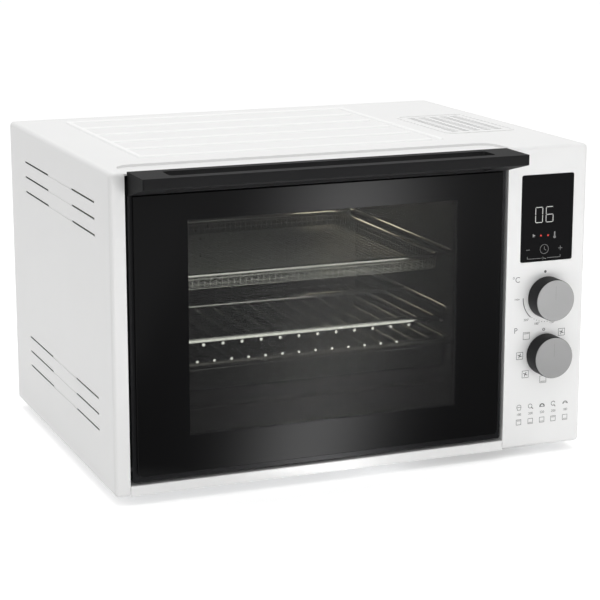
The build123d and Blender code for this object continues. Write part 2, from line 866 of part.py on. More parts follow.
with BuildPart() as lamp_holder:
    with BuildSketch(upright(cavity_back_y + sheet)) as holder_plate:
        with Locations((lamp_x, lamp_z)):
            Circle(lamp_hole + lamp_rim)
    extrude(amount=-holder_flange)
    with BuildSketch(upright(cavity_back_y + sheet + holder_flange)) as holder_body:
        with Locations((lamp_x, lamp_z)):
            Circle(holder_radius)
    extrude(amount=-holder_length)
    with BuildSketch(upright(cavity_back_y)) as holder_socket:
        with Locations((lamp_x, lamp_z)):
            Circle(bulb_stem_radius + seat_gap)
    extrude(amount=-holder_socket_depth, mode=Mode.SUBTRACT)
lamp_holder.part.label = "lamp_holder"
export_step(lamp_holder.part, "parts/lamp_holder.step")

# Fan housing: dished cover behind the fan guard, carrying the motor
housing_y = cavity_back_y + sheet
housing_end_y = housing_y + housing_depth
with BuildPart() as fan_housing:
    with BuildSketch(upright(housing_y)) as housing_lip:
        with Locations((door_x, fan_z)):
            Circle(housing_radius + housing_flange)
    extrude(amount=-sheet)
    with BuildSketch(upright(housing_y)) as housing_outside:
        with Locations((door_x, fan_z)):
            Circle(housing_radius + sheet)
    extrude(amount=-housing_depth)
    with BuildSketch(upright(housing_y)) as housing_inside:
        with Locations((door_x, fan_z)):
            Circle(housing_radius)
    extrude(amount=-(housing_depth - sheet), mode=Mode.SUBTRACT)
    with BuildSketch(upright(housing_end_y - sheet)) as shaft_hole:
        with Locations((door_x, fan_z)):
            Circle(shaft_radius + sheet)
    extrude(amount=-sheet, mode=Mode.SUBTRACT)
fan_housing.part.label = "fan_housing"
export_step(fan_housing.part, "parts/fan_housing.step")

# Fan motor: laminated body on four standoffs, with a bore for the shaft
motor_y = housing_end_y + motor_standoff
motor_back_y = motor_y + motor_depth
with BuildPart() as fan_motor:
    with BuildSketch(upright(motor_y)) as motor_body:
        with Locations((door_x, fan_z)):
            RectangleRounded(motor_size, motor_size, motor_corner)
    extrude(amount=-motor_depth)
    with BuildSketch(upright(motor_y)) as standoffs:
        with Locations((door_x, fan_z)):
            with GridLocations(motor_size - 2 * motor_post_inset, motor_size - 2 * motor_post_inset, 2, 2):
                Circle(motor_post_radius)
    extrude(amount=motor_standoff)
    with BuildSketch(upright(motor_y)) as motor_bore:
        with Locations((door_x, fan_z)):
            Circle(shaft_radius + running_gap)
    extrude(amount=-motor_depth, mode=Mode.SUBTRACT)
fan_motor.part.label = "fan_motor"
export_step(fan_motor.part, "parts/fan_motor.step")

# Rotor: shaft, hot-air fan in front, cooling fan behind and the nut that holds the fan
fan_y = housing_y + fan_clearance
cooling_y = motor_back_y + fan_clearance
nut_y = fan_y + fan_hub_setback - seat_gap
with BuildPart() as motor_shaft:
    with BuildSketch(upright(nut_y - nut_height - sheet)) as shaft_section:
        with Locations((door_x, fan_z)):
            Circle(shaft_radius)
    extrude(amount=-(cooling_y + cooling_fan_width - nut_y + nut_height + sheet))
motor_shaft.part.label = "motor_shaft"
export_step(motor_shaft.part, "parts/motor_shaft.step")

with BuildPart() as convection_fan:
    with BuildSketch(upright(fan_y + fan_width)) as fan_disc:
        with Locations((door_x, fan_z)):
            Circle(fan_radius)
    extrude(amount=sheet)
    with BuildSketch(upright(fan_y + fan_width)) as fan_hub:
        with Locations((door_x, fan_z)):
            Circle(fan_hub_radius)
    extrude(amount=fan_width - fan_hub_setback)
    blade_length = fan_radius - fan_hub_radius - fan_blade_margin
    with BuildSketch(upright(fan_y + fan_width)) as fan_vanes:
        with Locations((door_x, fan_z)):
            with PolarLocations(fan_radius - blade_length / 2, fan_blades):
                Rectangle(blade_length, sheet)
    extrude(amount=fan_width)
    with BuildSketch(upright(fan_y)) as fan_bore:
        with Locations((door_x, fan_z)):
            Circle(shaft_radius + running_gap)
    extrude(amount=-fan_width, mode=Mode.SUBTRACT)
convection_fan.part.label = "convection_fan"
export_step(convection_fan.part, "parts/convection_fan.step")

with BuildPart() as fan_nut:
    with BuildSketch(upright(nut_y)) as nut_outline:
        with Locations((door_x, fan_z)):
            RegularPolygon(nut_across / 2, 6, major_radius=False)
            Circle(shaft_radius + running_gap, mode=Mode.SUBTRACT)
    extrude(amount=nut_height)
fan_nut.part.label = "fan_nut"
export_step(fan_nut.part, "parts/fan_nut.step")

with BuildPart() as cooling_fan:
    with BuildSketch(upright(cooling_y + cooling_fan_width)) as cooling_hub:
        with Locations((door_x, fan_z)):
            Circle(fan_hub_radius)
            Circle(shaft_radius + running_gap, mode=Mode.SUBTRACT)
    extrude(amount=cooling_fan_width)
    vane_length = cooling_fan_radius - fan_hub_radius + vane_root
    vane_middle = (door_x, cooling_y + cooling_fan_width / 2, fan_z)
    for vane in range(cooling_fan_blades):
        turn = math.radians(vane * 360 / cooling_fan_blades)
        spoke = Plane(origin=vane_middle, x_dir=(0, 1, 0), z_dir=(math.cos(turn), 0, math.sin(turn)))
        with BuildSketch(spoke.offset(fan_hub_radius - vane_root)) as vane_section:
            Rectangle(cooling_fan_width - 2 * sheet, sheet, rotation=vane_tilt)
        extrude(amount=vane_length)
cooling_fan.part.label = "cooling_fan"
export_step(cooling_fan.part, "parts/cooling_fan.step")

# Door frame: black shell of the door, open at the back
door_left = door_x - door_width / 2
door_height = door_top - door_bottom
door_mid_z = (door_bottom + door_top) / 2
plate_back_y = frame_front_y + frame_wall
heel_y = front_y + door_bottom_wall_run
handle_screw_z = top_z - handle_screw_drop
handle_screw_places = (
    (door_left + handle_slot_end / 2, handle_screw_z),
    (door_left + door_width - handle_slot_end / 2, handle_screw_z),
)
with BuildPart() as door_frame:
    with BuildSketch(upright(frame_front_y)) as frame_outline:
        with Locations((door_x, door_mid_z)):
            RectangleRounded(door_width, door_height, frame_corner)
    extrude(amount=-(door_back_y - frame_front_y))
    with BuildSketch(upright(plate_back_y)) as frame_inside:
        with Locations((door_x, door_mid_z)):
            Rectangle(door_width - 2 * frame_wall, door_height - 2 * frame_wall)
    extrude(amount=-(door_back_y - plate_back_y), mode=Mode.SUBTRACT)
    with BuildSketch(upright(frame_front_y)) as frame_window:
        with Locations((window_x, window_z)):
            RectangleRounded(window_width + 2 * window_lap, window_height + 2 * window_lap, glass_corner)
        with Locations(*handle_screw_places):
            Circle(handle_screw + seat_gap)
    extrude(amount=-frame_wall, mode=Mode.SUBTRACT)
    # Heel cut away so the lower edge can swing under
    with BuildSketch(sideways(door_left)) as heel:
        with Locations(((heel_y + door_back_y) / 2, door_bottom + door_heel_height / 2)):
            Rectangle(door_back_y - heel_y, door_heel_height)
        with Locations((hinge_y, hinge_z)):
            Circle(pin_radius + running_gap)
    extrude(amount=door_width, mode=Mode.SUBTRACT)
door_frame.part.label = "door_frame"
export_step(door_frame.part, "parts/door_frame.step")

# Outer glass: full-width black-bordered pane on the front of the frame
glass_bottom_z = door_bottom + glass_bottom_margin
glass_top_z = top_z - handle_root_height - seat_gap
with BuildPart() as outer_glass:
    with BuildSketch(upright(glass_front_y)) as pane:
        with Locations((door_x, (glass_bottom_z + glass_top_z) / 2)):
            Rectangle(door_width - 2 * glass_side_margin, glass_top_z - glass_bottom_z)
        fillet(pane.vertices().group_by(Axis.Y)[0], glass_corner)
    extrude(amount=-glass_thickness)
    chamfer(outer_glass.faces().sort_by(Axis.Y)[0].edges(), glass_edge)
outer_glass.part.label = "outer_glass"
export_step(outer_glass.part, "parts/outer_glass.step")

# Inner glass: second pane, against the inner panel
inner_glass_y = door_back_y - sheet - glass_thickness
inner_glass_width = window_width + 2 * inner_glass_lap
inner_glass_height = window_height + 2 * inner_glass_lap
with BuildPart() as inner_glass:
    with BuildSketch(upright(inner_glass_y)) as inner_pane:
        with Locations((window_x, window_z)):
            RectangleRounded(inner_glass_width, inner_glass_height, glass_corner / 2)
    extrude(amount=-glass_thickness)
inner_glass.part.label = "inner_glass"
export_step(inner_glass.part, "parts/inner_glass.step")

# Door inner panel: enamelled sheet that closes the back of the door
inner_panel_bottom = door_bottom + door_heel_height + inner_panel_lift
inner_panel_top = door_top - frame_wall - seat_gap
with BuildPart() as door_inner_panel:
    with BuildSketch(upright(door_back_y - sheet)) as inner_face:
        with Locations((door_x, (inner_panel_bottom + inner_panel_top) / 2)):
            Rectangle(door_width - 2 * frame_wall - 2 * seat_gap, inner_panel_top - inner_panel_bottom)
        with Locations((window_x, window_z)):
            RectangleRounded(window_width + window_lap, window_height + window_lap, glass_corner,
                             mode=Mode.SUBTRACT)
    extrude(amount=-sheet)
door_inner_panel.part.label = "door_inner_panel"
export_step(door_inner_panel.part, "parts/door_inner_panel.step")

# Inner glass clips: four bent tabs on the inner panel that hold the second pane
clip_edge_x = inner_glass_width / 2 + seat_gap
clip_front_y = inner_glass_y - seat_gap - sheet
with BuildPart() as inner_glass_clips:
    for clip_z in (window_z - clip_spread, window_z + clip_spread):
        for side in (-1, 1):
            with BuildSketch(Plane.XY.offset(clip_z - clip_length / 2)) as clip_section:
                with BuildLine():
                    Polyline(
                        (window_x + side * (clip_edge_x - clip_lap), clip_front_y),
                        (window_x + side * (clip_edge_x + sheet), clip_front_y),
                        (window_x + side * (clip_edge_x + sheet), door_back_y - 2 * sheet),
                        (window_x + side * (clip_edge_x + clip_foot), door_back_y - 2 * sheet),
                        (window_x + side * (clip_edge_x + clip_foot), door_back_y - sheet),
                        (window_x + side * clip_edge_x, door_back_y - sheet),
                        (window_x + side * clip_edge_x, clip_front_y + sheet),
                        (window_x + side * (clip_edge_x - clip_lap), clip_front_y + sheet),
                        close=True,
                    )
                make_face()
            extrude(amount=clip_length)
inner_glass_clips.part.label = "inner_glass_clips"
export_step(inner_glass_clips.part, "parts/inner_glass_clips.step")

# Door handle: full-width bar standing off the top of the door, with a slot for the fingers
with BuildPart() as door_handle:
    with BuildSketch(sideways(door_left)) as handle_profile:
        with BuildLine():
            Polyline(
                (frame_front_y, top_z),
                (handle_front_y, top_z),
                (handle_front_y, top_z - handle_front_height),
                (frame_front_y, top_z - handle_root_height),
                close=True,
            )
        make_face()
    extrude(amount=door_width)
    fillet(door_handle.faces().sort_by(Axis.Y)[0].edges(), handle_edge)
    slot_front_y = handle_front_y + handle_bar
    slot_rear_y = front_y - handle_slot_rear
    with BuildSketch(Plane.XY.offset(top_z)) as finger_slot:
        with Locations((door_x, (slot_front_y + slot_rear_y) / 2)):
            RectangleRounded(door_width - 2 * handle_slot_end, slot_rear_y - slot_front_y,
                             handle_slot_corner)
    extrude(amount=-handle_root_height, mode=Mode.SUBTRACT)
    with BuildSketch(upright(frame_front_y)) as handle_holes:
        with Locations(*handle_screw_places):
            Circle(handle_screw + running_gap)
    extrude(amount=handle_screw_length - frame_wall + 1, mode=Mode.SUBTRACT)
door_handle.part.label = "door_handle"
export_step(door_handle.part, "parts/door_handle.step")

# Handle screws: driven from inside the frame into the ends of the handle
with BuildPart() as handle_screws:
    with BuildSketch(upright(plate_back_y)) as handle_screw_heads:
        with Locations(*handle_screw_places):
            Circle(handle_screw_head)
    extrude(amount=-screw_head_height)
    with BuildSketch(upright(plate_back_y)) as handle_screw_shanks:
        with Locations(*handle_screw_places):
            Circle(handle_screw)
    extrude(amount=handle_screw_length)
handle_screws.part.label = "handle_screws"
export_step(handle_screws.part, "parts/handle_screws.step")

# Hinge arms: steel plates inside the side walls of the door, carrying the load to the pin
arm_x = door_left + frame_wall + seat_gap
arm_bottom = door_bottom + frame_wall + seat_gap
with BuildPart() as left_hinge_arm:
    with BuildSketch(sideways(arm_x)) as arm_face:
        with Locations((plate_back_y + seat_gap + arm_width / 2, arm_bottom + arm_height / 2)):
            RectangleRounded(arm_width, arm_height, arm_corner)
        with Locations((hinge_y, hinge_z)):
            Circle(pin_radius + running_gap, mode=Mode.SUBTRACT)
    extrude(amount=arm_thickness)
left_hinge_arm.part.label = "left_hinge_arm"
export_step(left_hinge_arm.part, "parts/left_hinge_arm.step")

right_hinge_arm = mirror(left_hinge_arm.part, about=sideways(door_x))
right_hinge_arm.label = "right_hinge_arm"
export_step(right_hinge_arm, "parts/right_hinge_arm.step")

# Hinge brackets: angle plates on the base pan, behind each jamb
bracket_x = opening_left - sheet - seat_gap
with BuildPart() as left_hinge_bracket:
    with BuildSketch(upright(front_y + 2 * sheet)) as bracket_section:
        with BuildLine():
            Polyline(
                (bracket_x, pan_z),
                (bracket_x, pan_z + hinge_plate_height),
                (bracket_x - hinge_plate, pan_z + hinge_plate_height),
                (bracket_x - hinge_plate, pan_z + hinge_plate),
                (bracket_x - hinge_foot, pan_z + hinge_plate),
                (bracket_x - hinge_foot, pan_z),
                close=True,
            )
        make_face()
    extrude(amount=-(jamb_depth - 2 * sheet - seat_gap))
    with BuildSketch(sideways(bracket_x)) as bracket_bore:
        with Locations((hinge_y, hinge_z)):
            Circle(pin_radius + running_gap)
    extrude(amount=-hinge_plate, mode=Mode.SUBTRACT)
left_hinge_bracket.part.label = "left_hinge_bracket"
export_step(left_hinge_bracket.part, "parts/left_hinge_bracket.step")

right_hinge_bracket = mirror(left_hinge_bracket.part, about=sideways(door_x))
right_hinge_bracket.label = "right_hinge_bracket"
export_step(right_hinge_bracket, "parts/right_hinge_bracket.step")

# Hinge pins: headed pins through bracket, jamb, door frame and arm
spring_x = arm_x + arm_thickness + seat_gap
pin_tip_x = spring_x + hinge_spring_length + 1
with BuildPart() as hinge_pins:
    for side in (-1, 1):
        head_x = door_x - side * (door_x - (bracket_x - hinge_plate - pin_head))
        with BuildSketch(sideways(head_x)) as pin_heads:
            with Locations((hinge_y, hinge_z)):
                Circle(pin_head_radius)
        extrude(amount=side * pin_head)
        with BuildSketch(sideways(head_x)) as pin_shanks:
            with Locations((hinge_y, hinge_z)):
                Circle(pin_radius)
        extrude(amount=side * (pin_tip_x - (bracket_x - hinge_plate - pin_head)))
hinge_pins.part.label = "hinge_pins"
export_step(hinge_pins.part, "parts/hinge_pins.step")

# Hinge springs: closed coils on the inner ends of the pins
with BuildPart() as hinge_springs:
    for side in (-1, 1):
        with BuildSketch(sideways(door_x - side * (door_x - spring_x))) as coil_section:
            with Locations((hinge_y, hinge_z)):
                Circle(pin_radius + seat_gap + hinge_spring_wall)
                Circle(pin_radius + seat_gap, mode=Mode.SUBTRACT)
        extrude(amount=side * hinge_spring_length)
hinge_springs.part.label = "hinge_springs"
export_step(hinge_springs.part, "parts/hinge_springs.step")

# Wire rack: rod loop with rounded front corners, a cross rod and a row of long wires
rack_front_y = front_y + rack_run
rack_rear_y = cavity_back_y - rack_rear_gap
rack_wire_z = rack_z - rack_rod - rack_wire + weld_depth
with BuildSketch(Plane.XY.offset(rack_z)) as rack_outline:
    with Locations((door_x, (rack_front_y + rack_rear_y) / 2)):
        Rectangle(2 * rack_half_width, rack_rear_y - rack_front_y)
    fillet(rack_outline.vertices().group_by(Axis.Y)[0], rack_front_corner)
    fillet(rack_outline.vertices().group_by(Axis.Y)[-1], rack_rear_corner)
rack_path = rack_outline.sketch.faces()[0].outer_wire()
with BuildPart() as wire_rack:
    with BuildSketch(Plane(origin=rack_path @ 0, z_dir=rack_path % 0)) as rack_rod_section:
        Circle(rack_rod)
    sweep(path=rack_path)
    with BuildSketch(sideways(door_x - rack_half_width)) as cross_rod:
        with Locations(((rack_front_y + rack_rear_y) / 2, rack_z)):
            Circle(rack_rod)
    extrude(amount=2 * rack_half_width)
    for wire in range(rack_wire_count):
        wire_offset = (wire - (rack_wire_count - 1) / 2) * rack_wire_pitch
        into_corner = max(0, abs(wire_offset) - rack_half_width + rack_front_corner)
        corner_drop = rack_front_corner - math.sqrt(rack_front_corner ** 2 - into_corner ** 2)
        wire_start = rack_front_y + corner_drop - rack_wire
        with BuildSketch(upright(wire_start)) as rack_wire_section:
            with Locations((door_x + wire_offset, rack_wire_z)):
                Circle(rack_wire)
        extrude(amount=-(rack_rear_y + rack_wire - wire_start))
wire_rack.part.label = "wire_rack"
export_step(wire_rack.part, "parts/wire_rack.step")

# Tray: shallow enamelled pan hung by its flange on the lowest runners
tray_front_y = front_y + tray_run
tray_rear_y = cavity_back_y - tray_rear_gap
tray_middle = (door_x, (tray_front_y + tray_rear_y) / 2)
bowl_width = 2 * (tray_half_width - tray_flange)
bowl_length = tray_rear_y - tray_front_y - 2 * tray_flange
with BuildPart() as tray:
    with BuildSketch(Plane.XY.offset(tray_z - sheet)) as tray_rim:
        with Locations(tray_middle):
            RectangleRounded(2 * tray_half_width, tray_rear_y - tray_front_y, tray_corner)
    extrude(amount=sheet)
    with BuildSketch(Plane.XY.offset(tray_z - sheet)) as bowl_outside:
        with Locations(tray_middle):
            RectangleRounded(bowl_width + 2 * sheet, bowl_length + 2 * sheet, tray_corner + sheet)
    extrude(amount=-(tray_depth - sheet), taper=tray_taper)
    fillet(tray.faces().sort_by(Axis.Z)[0].edges(), tray_bottom_bend)
    with BuildSketch(Plane.XY.offset(tray_z)) as bowl_inside:
        with Locations(tray_middle):
            RectangleRounded(bowl_width, bowl_length, tray_corner)
    extrude(amount=-(tray_depth - sheet), taper=tray_taper, mode=Mode.SUBTRACT)
tray.part.label = "tray"
export_step(tray.part, "parts/tray.step")

# Low grid frame: rod loop of the light wire grid lying on the rim of the tray
grid_z = tray_z + seat_gap + grid_rod
grid_wire_z = grid_z + grid_rod + grid_wire + weld_gap
grid_front_y = front_y + grid_run
grid_rear_y = tray_rear_y - tray_flange / 2
with BuildSketch(Plane.XY.offset(grid_z)) as grid_outline:
    with Locations((door_x, (grid_front_y + grid_rear_y) / 2)):
        RectangleRounded(2 * grid_half_width, grid_rear_y - grid_front_y, tray_corner)
grid_path = grid_outline.sketch.faces()[0].outer_wire()
with BuildPart() as low_grid_frame:
    with BuildSketch(Plane(origin=grid_path @ 0, z_dir=grid_path % 0)) as grid_rod_section:
        Circle(grid_rod)
    sweep(path=grid_path)
low_grid_frame.part.label = "low_grid_frame"
export_step(low_grid_frame.part, "parts/low_grid_frame.step")

# Low grid wires: row of straight wires, each spot-welded across the rod loop
with BuildPart() as low_grid_wires:
    with BuildSketch(upright(grid_front_y - grid_rod - grid_wire)) as grid_wires:
        with Locations((door_x, grid_wire_z)):
            with GridLocations(grid_wire_pitch, 1, grid_wire_count, 1):
                Circle(grid_wire)
    extrude(amount=-(grid_rear_y - grid_front_y + grid_rod + 2 * grid_wire))
low_grid_wires.part.label = "low_grid_wires"
export_step(low_grid_wires.part, "parts/low_grid_wires.step")

# Basket rim: rod loop round the basket and a hanger bow on each side
basket_front_y = front_y + basket_run
basket_rear_y = cavity_back_y - basket_rear_gap
basket_middle = (door_x, (basket_front_y + basket_rear_y) / 2)
basket_length = basket_rear_y - basket_front_y
with BuildSketch(Plane.XY.offset(basket_z)) as basket_outline:
    with Locations(basket_middle):
        RectangleRounded(2 * basket_half_width, basket_length, basket_corner)
basket_path = basket_outline.sketch.faces()[0].outer_wire()
with BuildPart() as basket_rim:
    with BuildSketch(Plane(origin=basket_path @ 0, z_dir=basket_path % 0)) as basket_rod_section:
        Circle(basket_rod)
    sweep(path=basket_path)
    for side in (-1, 1):
        with BuildLine(Plane.XY.offset(basket_z)) as hanger_route:
            FilletPolyline(
                (door_x + side * basket_half_width, basket_front_y + hanger_start),
                (door_x + side * hanger_half_width, basket_front_y + hanger_start + hanger_bend),
                (door_x + side * hanger_half_width, cavity_back_y - hanger_rear_gap),
                (door_x + side * basket_half_width, basket_rear_y - basket_rod),
                radius=hanger_bend,
            )
        with BuildSketch(Plane(origin=hanger_route.line @ 0, z_dir=hanger_route.line % 0)):
            Circle(basket_rod)
        sweep(path=hanger_route.line)
basket_rim.part.label = "basket_rim"
export_step(basket_rim.part, "parts/basket_rim.step")

# Basket sides: low wall of mesh under the rim, drawn with one row of wide gaps
wall_bottom_z = basket_z - basket_height
wall_top_z = basket_z - basket_rod - seat_gap
wall_gap_height = wall_top_z - wall_bottom_z - 2 * basket_mesh_bar
side_gap_pitch_x = (2 * basket_half_width - 2 * basket_corner) / basket_gaps_x
side_gap_pitch_y = (basket_length - 2 * basket_corner) / basket_gaps_y
with BuildPart() as basket_sides:
    with BuildSketch(Plane.XY.offset(wall_bottom_z)) as wall_ring:
        with Locations(basket_middle):
            RectangleRounded(2 * basket_half_width + basket_mesh, basket_length + basket_mesh,
                             basket_corner + basket_mesh / 2)
            RectangleRounded(2 * basket_half_width - basket_mesh, basket_length - basket_mesh,
                             basket_corner - basket_mesh / 2, mode=Mode.SUBTRACT)
    extrude(amount=wall_top_z - wall_bottom_z)
    with BuildSketch(upright(basket_front_y - basket_mesh)) as wall_gaps_x:
        with Locations((door_x, (wall_bottom_z + wall_top_z) / 2)):
            with GridLocations(side_gap_pitch_x, 1, basket_gaps_x, 1):
                Rectangle(side_gap_pitch_x - basket_mesh_bar, wall_gap_height)
    extrude(amount=-(basket_length + 2 * basket_mesh), mode=Mode.SUBTRACT)
    with BuildSketch(sideways(door_x - basket_half_width - basket_mesh)) as wall_gaps_y:
        with Locations((basket_middle[1], (wall_bottom_z + wall_top_z) / 2)):
            with GridLocations(side_gap_pitch_y, 1, basket_gaps_y, 1):
                Rectangle(side_gap_pitch_y - basket_mesh_bar, wall_gap_height)
    extrude(amount=2 * (basket_half_width + basket_mesh), mode=Mode.SUBTRACT)
basket_sides.part.label = "basket_sides"
export_step(basket_sides.part, "parts/basket_sides.step")

# Basket floor: flat mesh, drawn with wide gaps
with BuildPart() as basket_floor:
    with BuildSketch(Plane.XY.offset(wall_bottom_z - basket_mesh)) as mesh_floor:
        with Locations(basket_middle):
            RectangleRounded(2 * basket_half_width + basket_mesh, basket_length + basket_mesh,
                             basket_corner + basket_mesh / 2)
            with GridLocations(side_gap_pitch_x, side_gap_pitch_y, basket_gaps_x, basket_gaps_y):
                Rectangle(side_gap_pitch_x - basket_mesh_bar, side_gap_pitch_y - basket_mesh_bar,
                          mode=Mode.SUBTRACT)
    extrude(amount=basket_mesh)
basket_floor.part.label = "basket_floor"
export_step(basket_floor.part, "parts/basket_floor.step")

# Display window: black touch panel in the cut-out of the control face
display_front_y = front_y - display_proud
with BuildPart() as display_window:
    with BuildSketch(upright(display_front_y)) as display_face:
        with Locations((control_x, display_z)):
            RectangleRounded(display_width, display_height, display_corner)
    extrude(amount=-display_thickness)
display_window.part.label = "display_window"
export_step(display_window.part, "parts/display_window.step")

# Display board: digit module and touch board behind the window
carrier_y = front_y + carrier_run
board_y = carrier_y - board_standoff - board_thickness
module_y = display_front_y + display_thickness + seat_gap
with BuildPart() as display_board:
    with BuildSketch(upright(board_y)) as board_face:
        with Locations((control_x, display_z)):
            Rectangle(display_width - 2 * board_margin, display_height - 2 * board_margin)
    extrude(amount=-board_thickness)
    with BuildSketch(upright(module_y)) as digit_module:
        with Locations((control_x, display_z + display_height / 8)):
            Rectangle(display_width - 2 * module_margin, display_height / 3)
    extrude(amount=-(board_y - module_y))
display_board.part.label = "display_board"
export_step(display_board.part, "parts/display_board.step")

# Control carrier: moulded plate behind the control face, on posts
carrier_left = opening_right + sheet + carrier_side_gap
carrier_right = right_x - sheet - carrier_side_gap
carrier_middle = ((carrier_left + carrier_right) / 2, (carrier_bottom + carrier_top) / 2)
with BuildPart() as control_carrier:
    with BuildSketch(upright(carrier_y)) as carrier_face:
        with Locations(carrier_middle):
            RectangleRounded(carrier_right - carrier_left, carrier_top - carrier_bottom, post_radius)
        with Locations((knob_x, upper_knob_z), (knob_x, lower_knob_z)):
            Circle(bush_radius + seat_gap, mode=Mode.SUBTRACT)
    extrude(amount=-carrier_thickness)
    with BuildSketch(upright(carrier_y)) as carrier_posts:
        with Locations(carrier_middle):
            with GridLocations(carrier_right - carrier_left - 2 * post_radius,
                               carrier_top - carrier_bottom - 2 * post_radius, 2, 2):
                Circle(post_radius)
    extrude(amount=carrier_run - sheet)
    with BuildSketch(upright(carrier_y)) as board_posts:
        with Locations((control_x, display_z)):
            with GridLocations(display_width - 2 * board_post_inset,
                               display_height - 2 * board_post_inset, 2, 2):
                Circle(post_radius)
    extrude(amount=board_standoff)
control_carrier.part.label = "control_carrier"
export_step(control_carrier.part, "parts/control_carrier.step")

# Thermostat and function switch: bodies behind the carrier with hollow bushes for the spindles
switch_y = carrier_y + carrier_thickness
bush_front_y = front_y - knob_gap - bush_reach
for switch_name, switch_z, switch_size, switch_depth in (
    ("thermostat", upper_knob_z, thermostat_size, thermostat_depth),
    ("function_switch", lower_knob_z, function_switch_size, function_switch_depth),
):
    with BuildPart() as switch:
        with BuildSketch(upright(switch_y)) as switch_face:
            with Locations((knob_x, switch_z)):
                RectangleRounded(switch_size, switch_size, switch_corner)
        extrude(amount=-switch_depth)
        with BuildSketch(upright(switch_y)) as switch_bush:
            with Locations((knob_x, switch_z)):
                Circle(bush_radius)
        extrude(amount=switch_y - bush_front_y)
        with BuildSketch(upright(bush_front_y)) as switch_bore:
            with Locations((knob_x, switch_z)):
                Circle(spindle_radius + running_gap)
        extrude(amount=-(switch_y + spindle_depth + seat_gap - bush_front_y), mode=Mode.SUBTRACT)
    switch.part.label = switch_name
    export_step(switch.part, f"parts/{switch_name}.step")

# Spindles, knobs and their bright caps
knob_back_y = front_y - knob_gap
knob_front_y = knob_back_y - knob_depth + cap_thickness
for control_name, control_z in (("temperature", upper_knob_z), ("function", lower_knob_z)):
    with BuildPart() as spindle:
        with BuildSketch(upright(switch_y + spindle_depth)) as spindle_section:
            with Locations((knob_x, control_z)):
                Circle(spindle_radius)
        extrude(amount=switch_y + spindle_depth - knob_front_y - 2 * knob_wall)
    spindle.part.label = f"{control_name}_spindle"
    export_step(spindle.part, f"parts/{control_name}_spindle.step")

    with BuildPart() as knob:
        with BuildSketch(upright(knob_back_y)) as knob_outline:
            with Locations((knob_x, control_z)):
                Circle(knob_radius)
        extrude(amount=knob_back_y - knob_front_y)
        fillet(knob.edges().group_by(Axis.Y)[0], knob_edge)
        with BuildSketch(upright(knob_back_y)) as knob_hollow:
            with Locations((knob_x, control_z)):
                Circle(knob_radius - knob_wall)
        extrude(amount=knob_back_y - knob_front_y - knob_wall, mode=Mode.SUBTRACT)
        with BuildSketch(upright(bush_front_y - seat_gap)) as knob_hub:
            with Locations((knob_x, control_z)):
                Circle(spindle_hub)
        extrude(amount=bush_front_y - seat_gap - knob_front_y - knob_wall)
        with BuildSketch(upright(bush_front_y)) as knob_bore:
            with Locations((knob_x, control_z)):
                Circle(spindle_radius + running_gap)
        extrude(amount=bush_front_y - knob_front_y - 2 * knob_wall + seat_gap, mode=Mode.SUBTRACT)
    knob.part.label = f"{control_name}_knob"
    export_step(knob.part, f"parts/{control_name}_knob.step")

    with BuildPart() as cap:
        with BuildSketch(upright(knob_front_y)) as cap_face:
            with Locations((knob_x, control_z)):
                Circle(knob_radius - knob_edge)
        extrude(amount=cap_thickness)
    cap.part.label = f"{control_name}_cap"
    export_step(cap.part, f"parts/{control_name}_cap.step")

# Power board: relay and supply board on four legs over the base pan
power_board_z = pan_z + power_board_leg
power_board_middle = (control_x - power_board_shift, front_y + power_board_run)
with BuildPart() as power_board:
    with BuildSketch(Plane.XY.offset(power_board_z)) as power_board_face:
        with Locations(power_board_middle):
            Rectangle(power_board_width, power_board_length)
    extrude(amount=board_thickness)
    with BuildSketch(Plane.XY.offset(pan_z)) as power_board_legs:
        with Locations(power_board_middle):
            with GridLocations(power_board_width - 2 * power_board_leg_inset,
                               power_board_length - 2 * power_board_leg_inset, 2, 2):
                Circle(power_board_leg_radius)
    extrude(amount=power_board_leg)
    component_z = power_board_z + board_thickness
    # Transformer, three relays and the cooled driver: place on the board, then size
    for across, along, wide, long, high in (
        (-16, -32, 30, 34, 26),
        (20, -38, 16, 20, 16),
        (20, -8, 16, 20, 16),
        (20, 22, 16, 20, 16),
        (-16, 34, 34, 26, 9),
    ):
        with BuildSketch(Plane.XY.offset(component_z)) as component:
            with Locations((power_board_middle[0] + across, power_board_middle[1] + along)):
                Rectangle(wide, long)
        extrude(amount=high)
power_board.part.label = "power_board"
export_step(power_board.part, "parts/power_board.step")

# Terminal block: mains terminals on the pan, below the cable entry
terminal_y = back_y - terminal_inset
with BuildPart() as terminal_block:
    with BuildSketch(Plane.XY.offset(pan_z)) as terminal_base:
        with Locations((gland_x, terminal_y)):
            Rectangle(terminal_width, terminal_length)
    extrude(amount=terminal_height)
    with BuildSketch(Plane.XY.offset(pan_z + terminal_height)) as terminal_wells:
        with Locations((gland_x, terminal_y)):
            with GridLocations(terminal_width / terminal_ways, 1, terminal_ways, 1):
                Circle(terminal_well)
    extrude(amount=-terminal_height / 2, mode=Mode.SUBTRACT)
terminal_block.part.label = "terminal_block"
export_step(terminal_block.part, "parts/terminal_block.step")

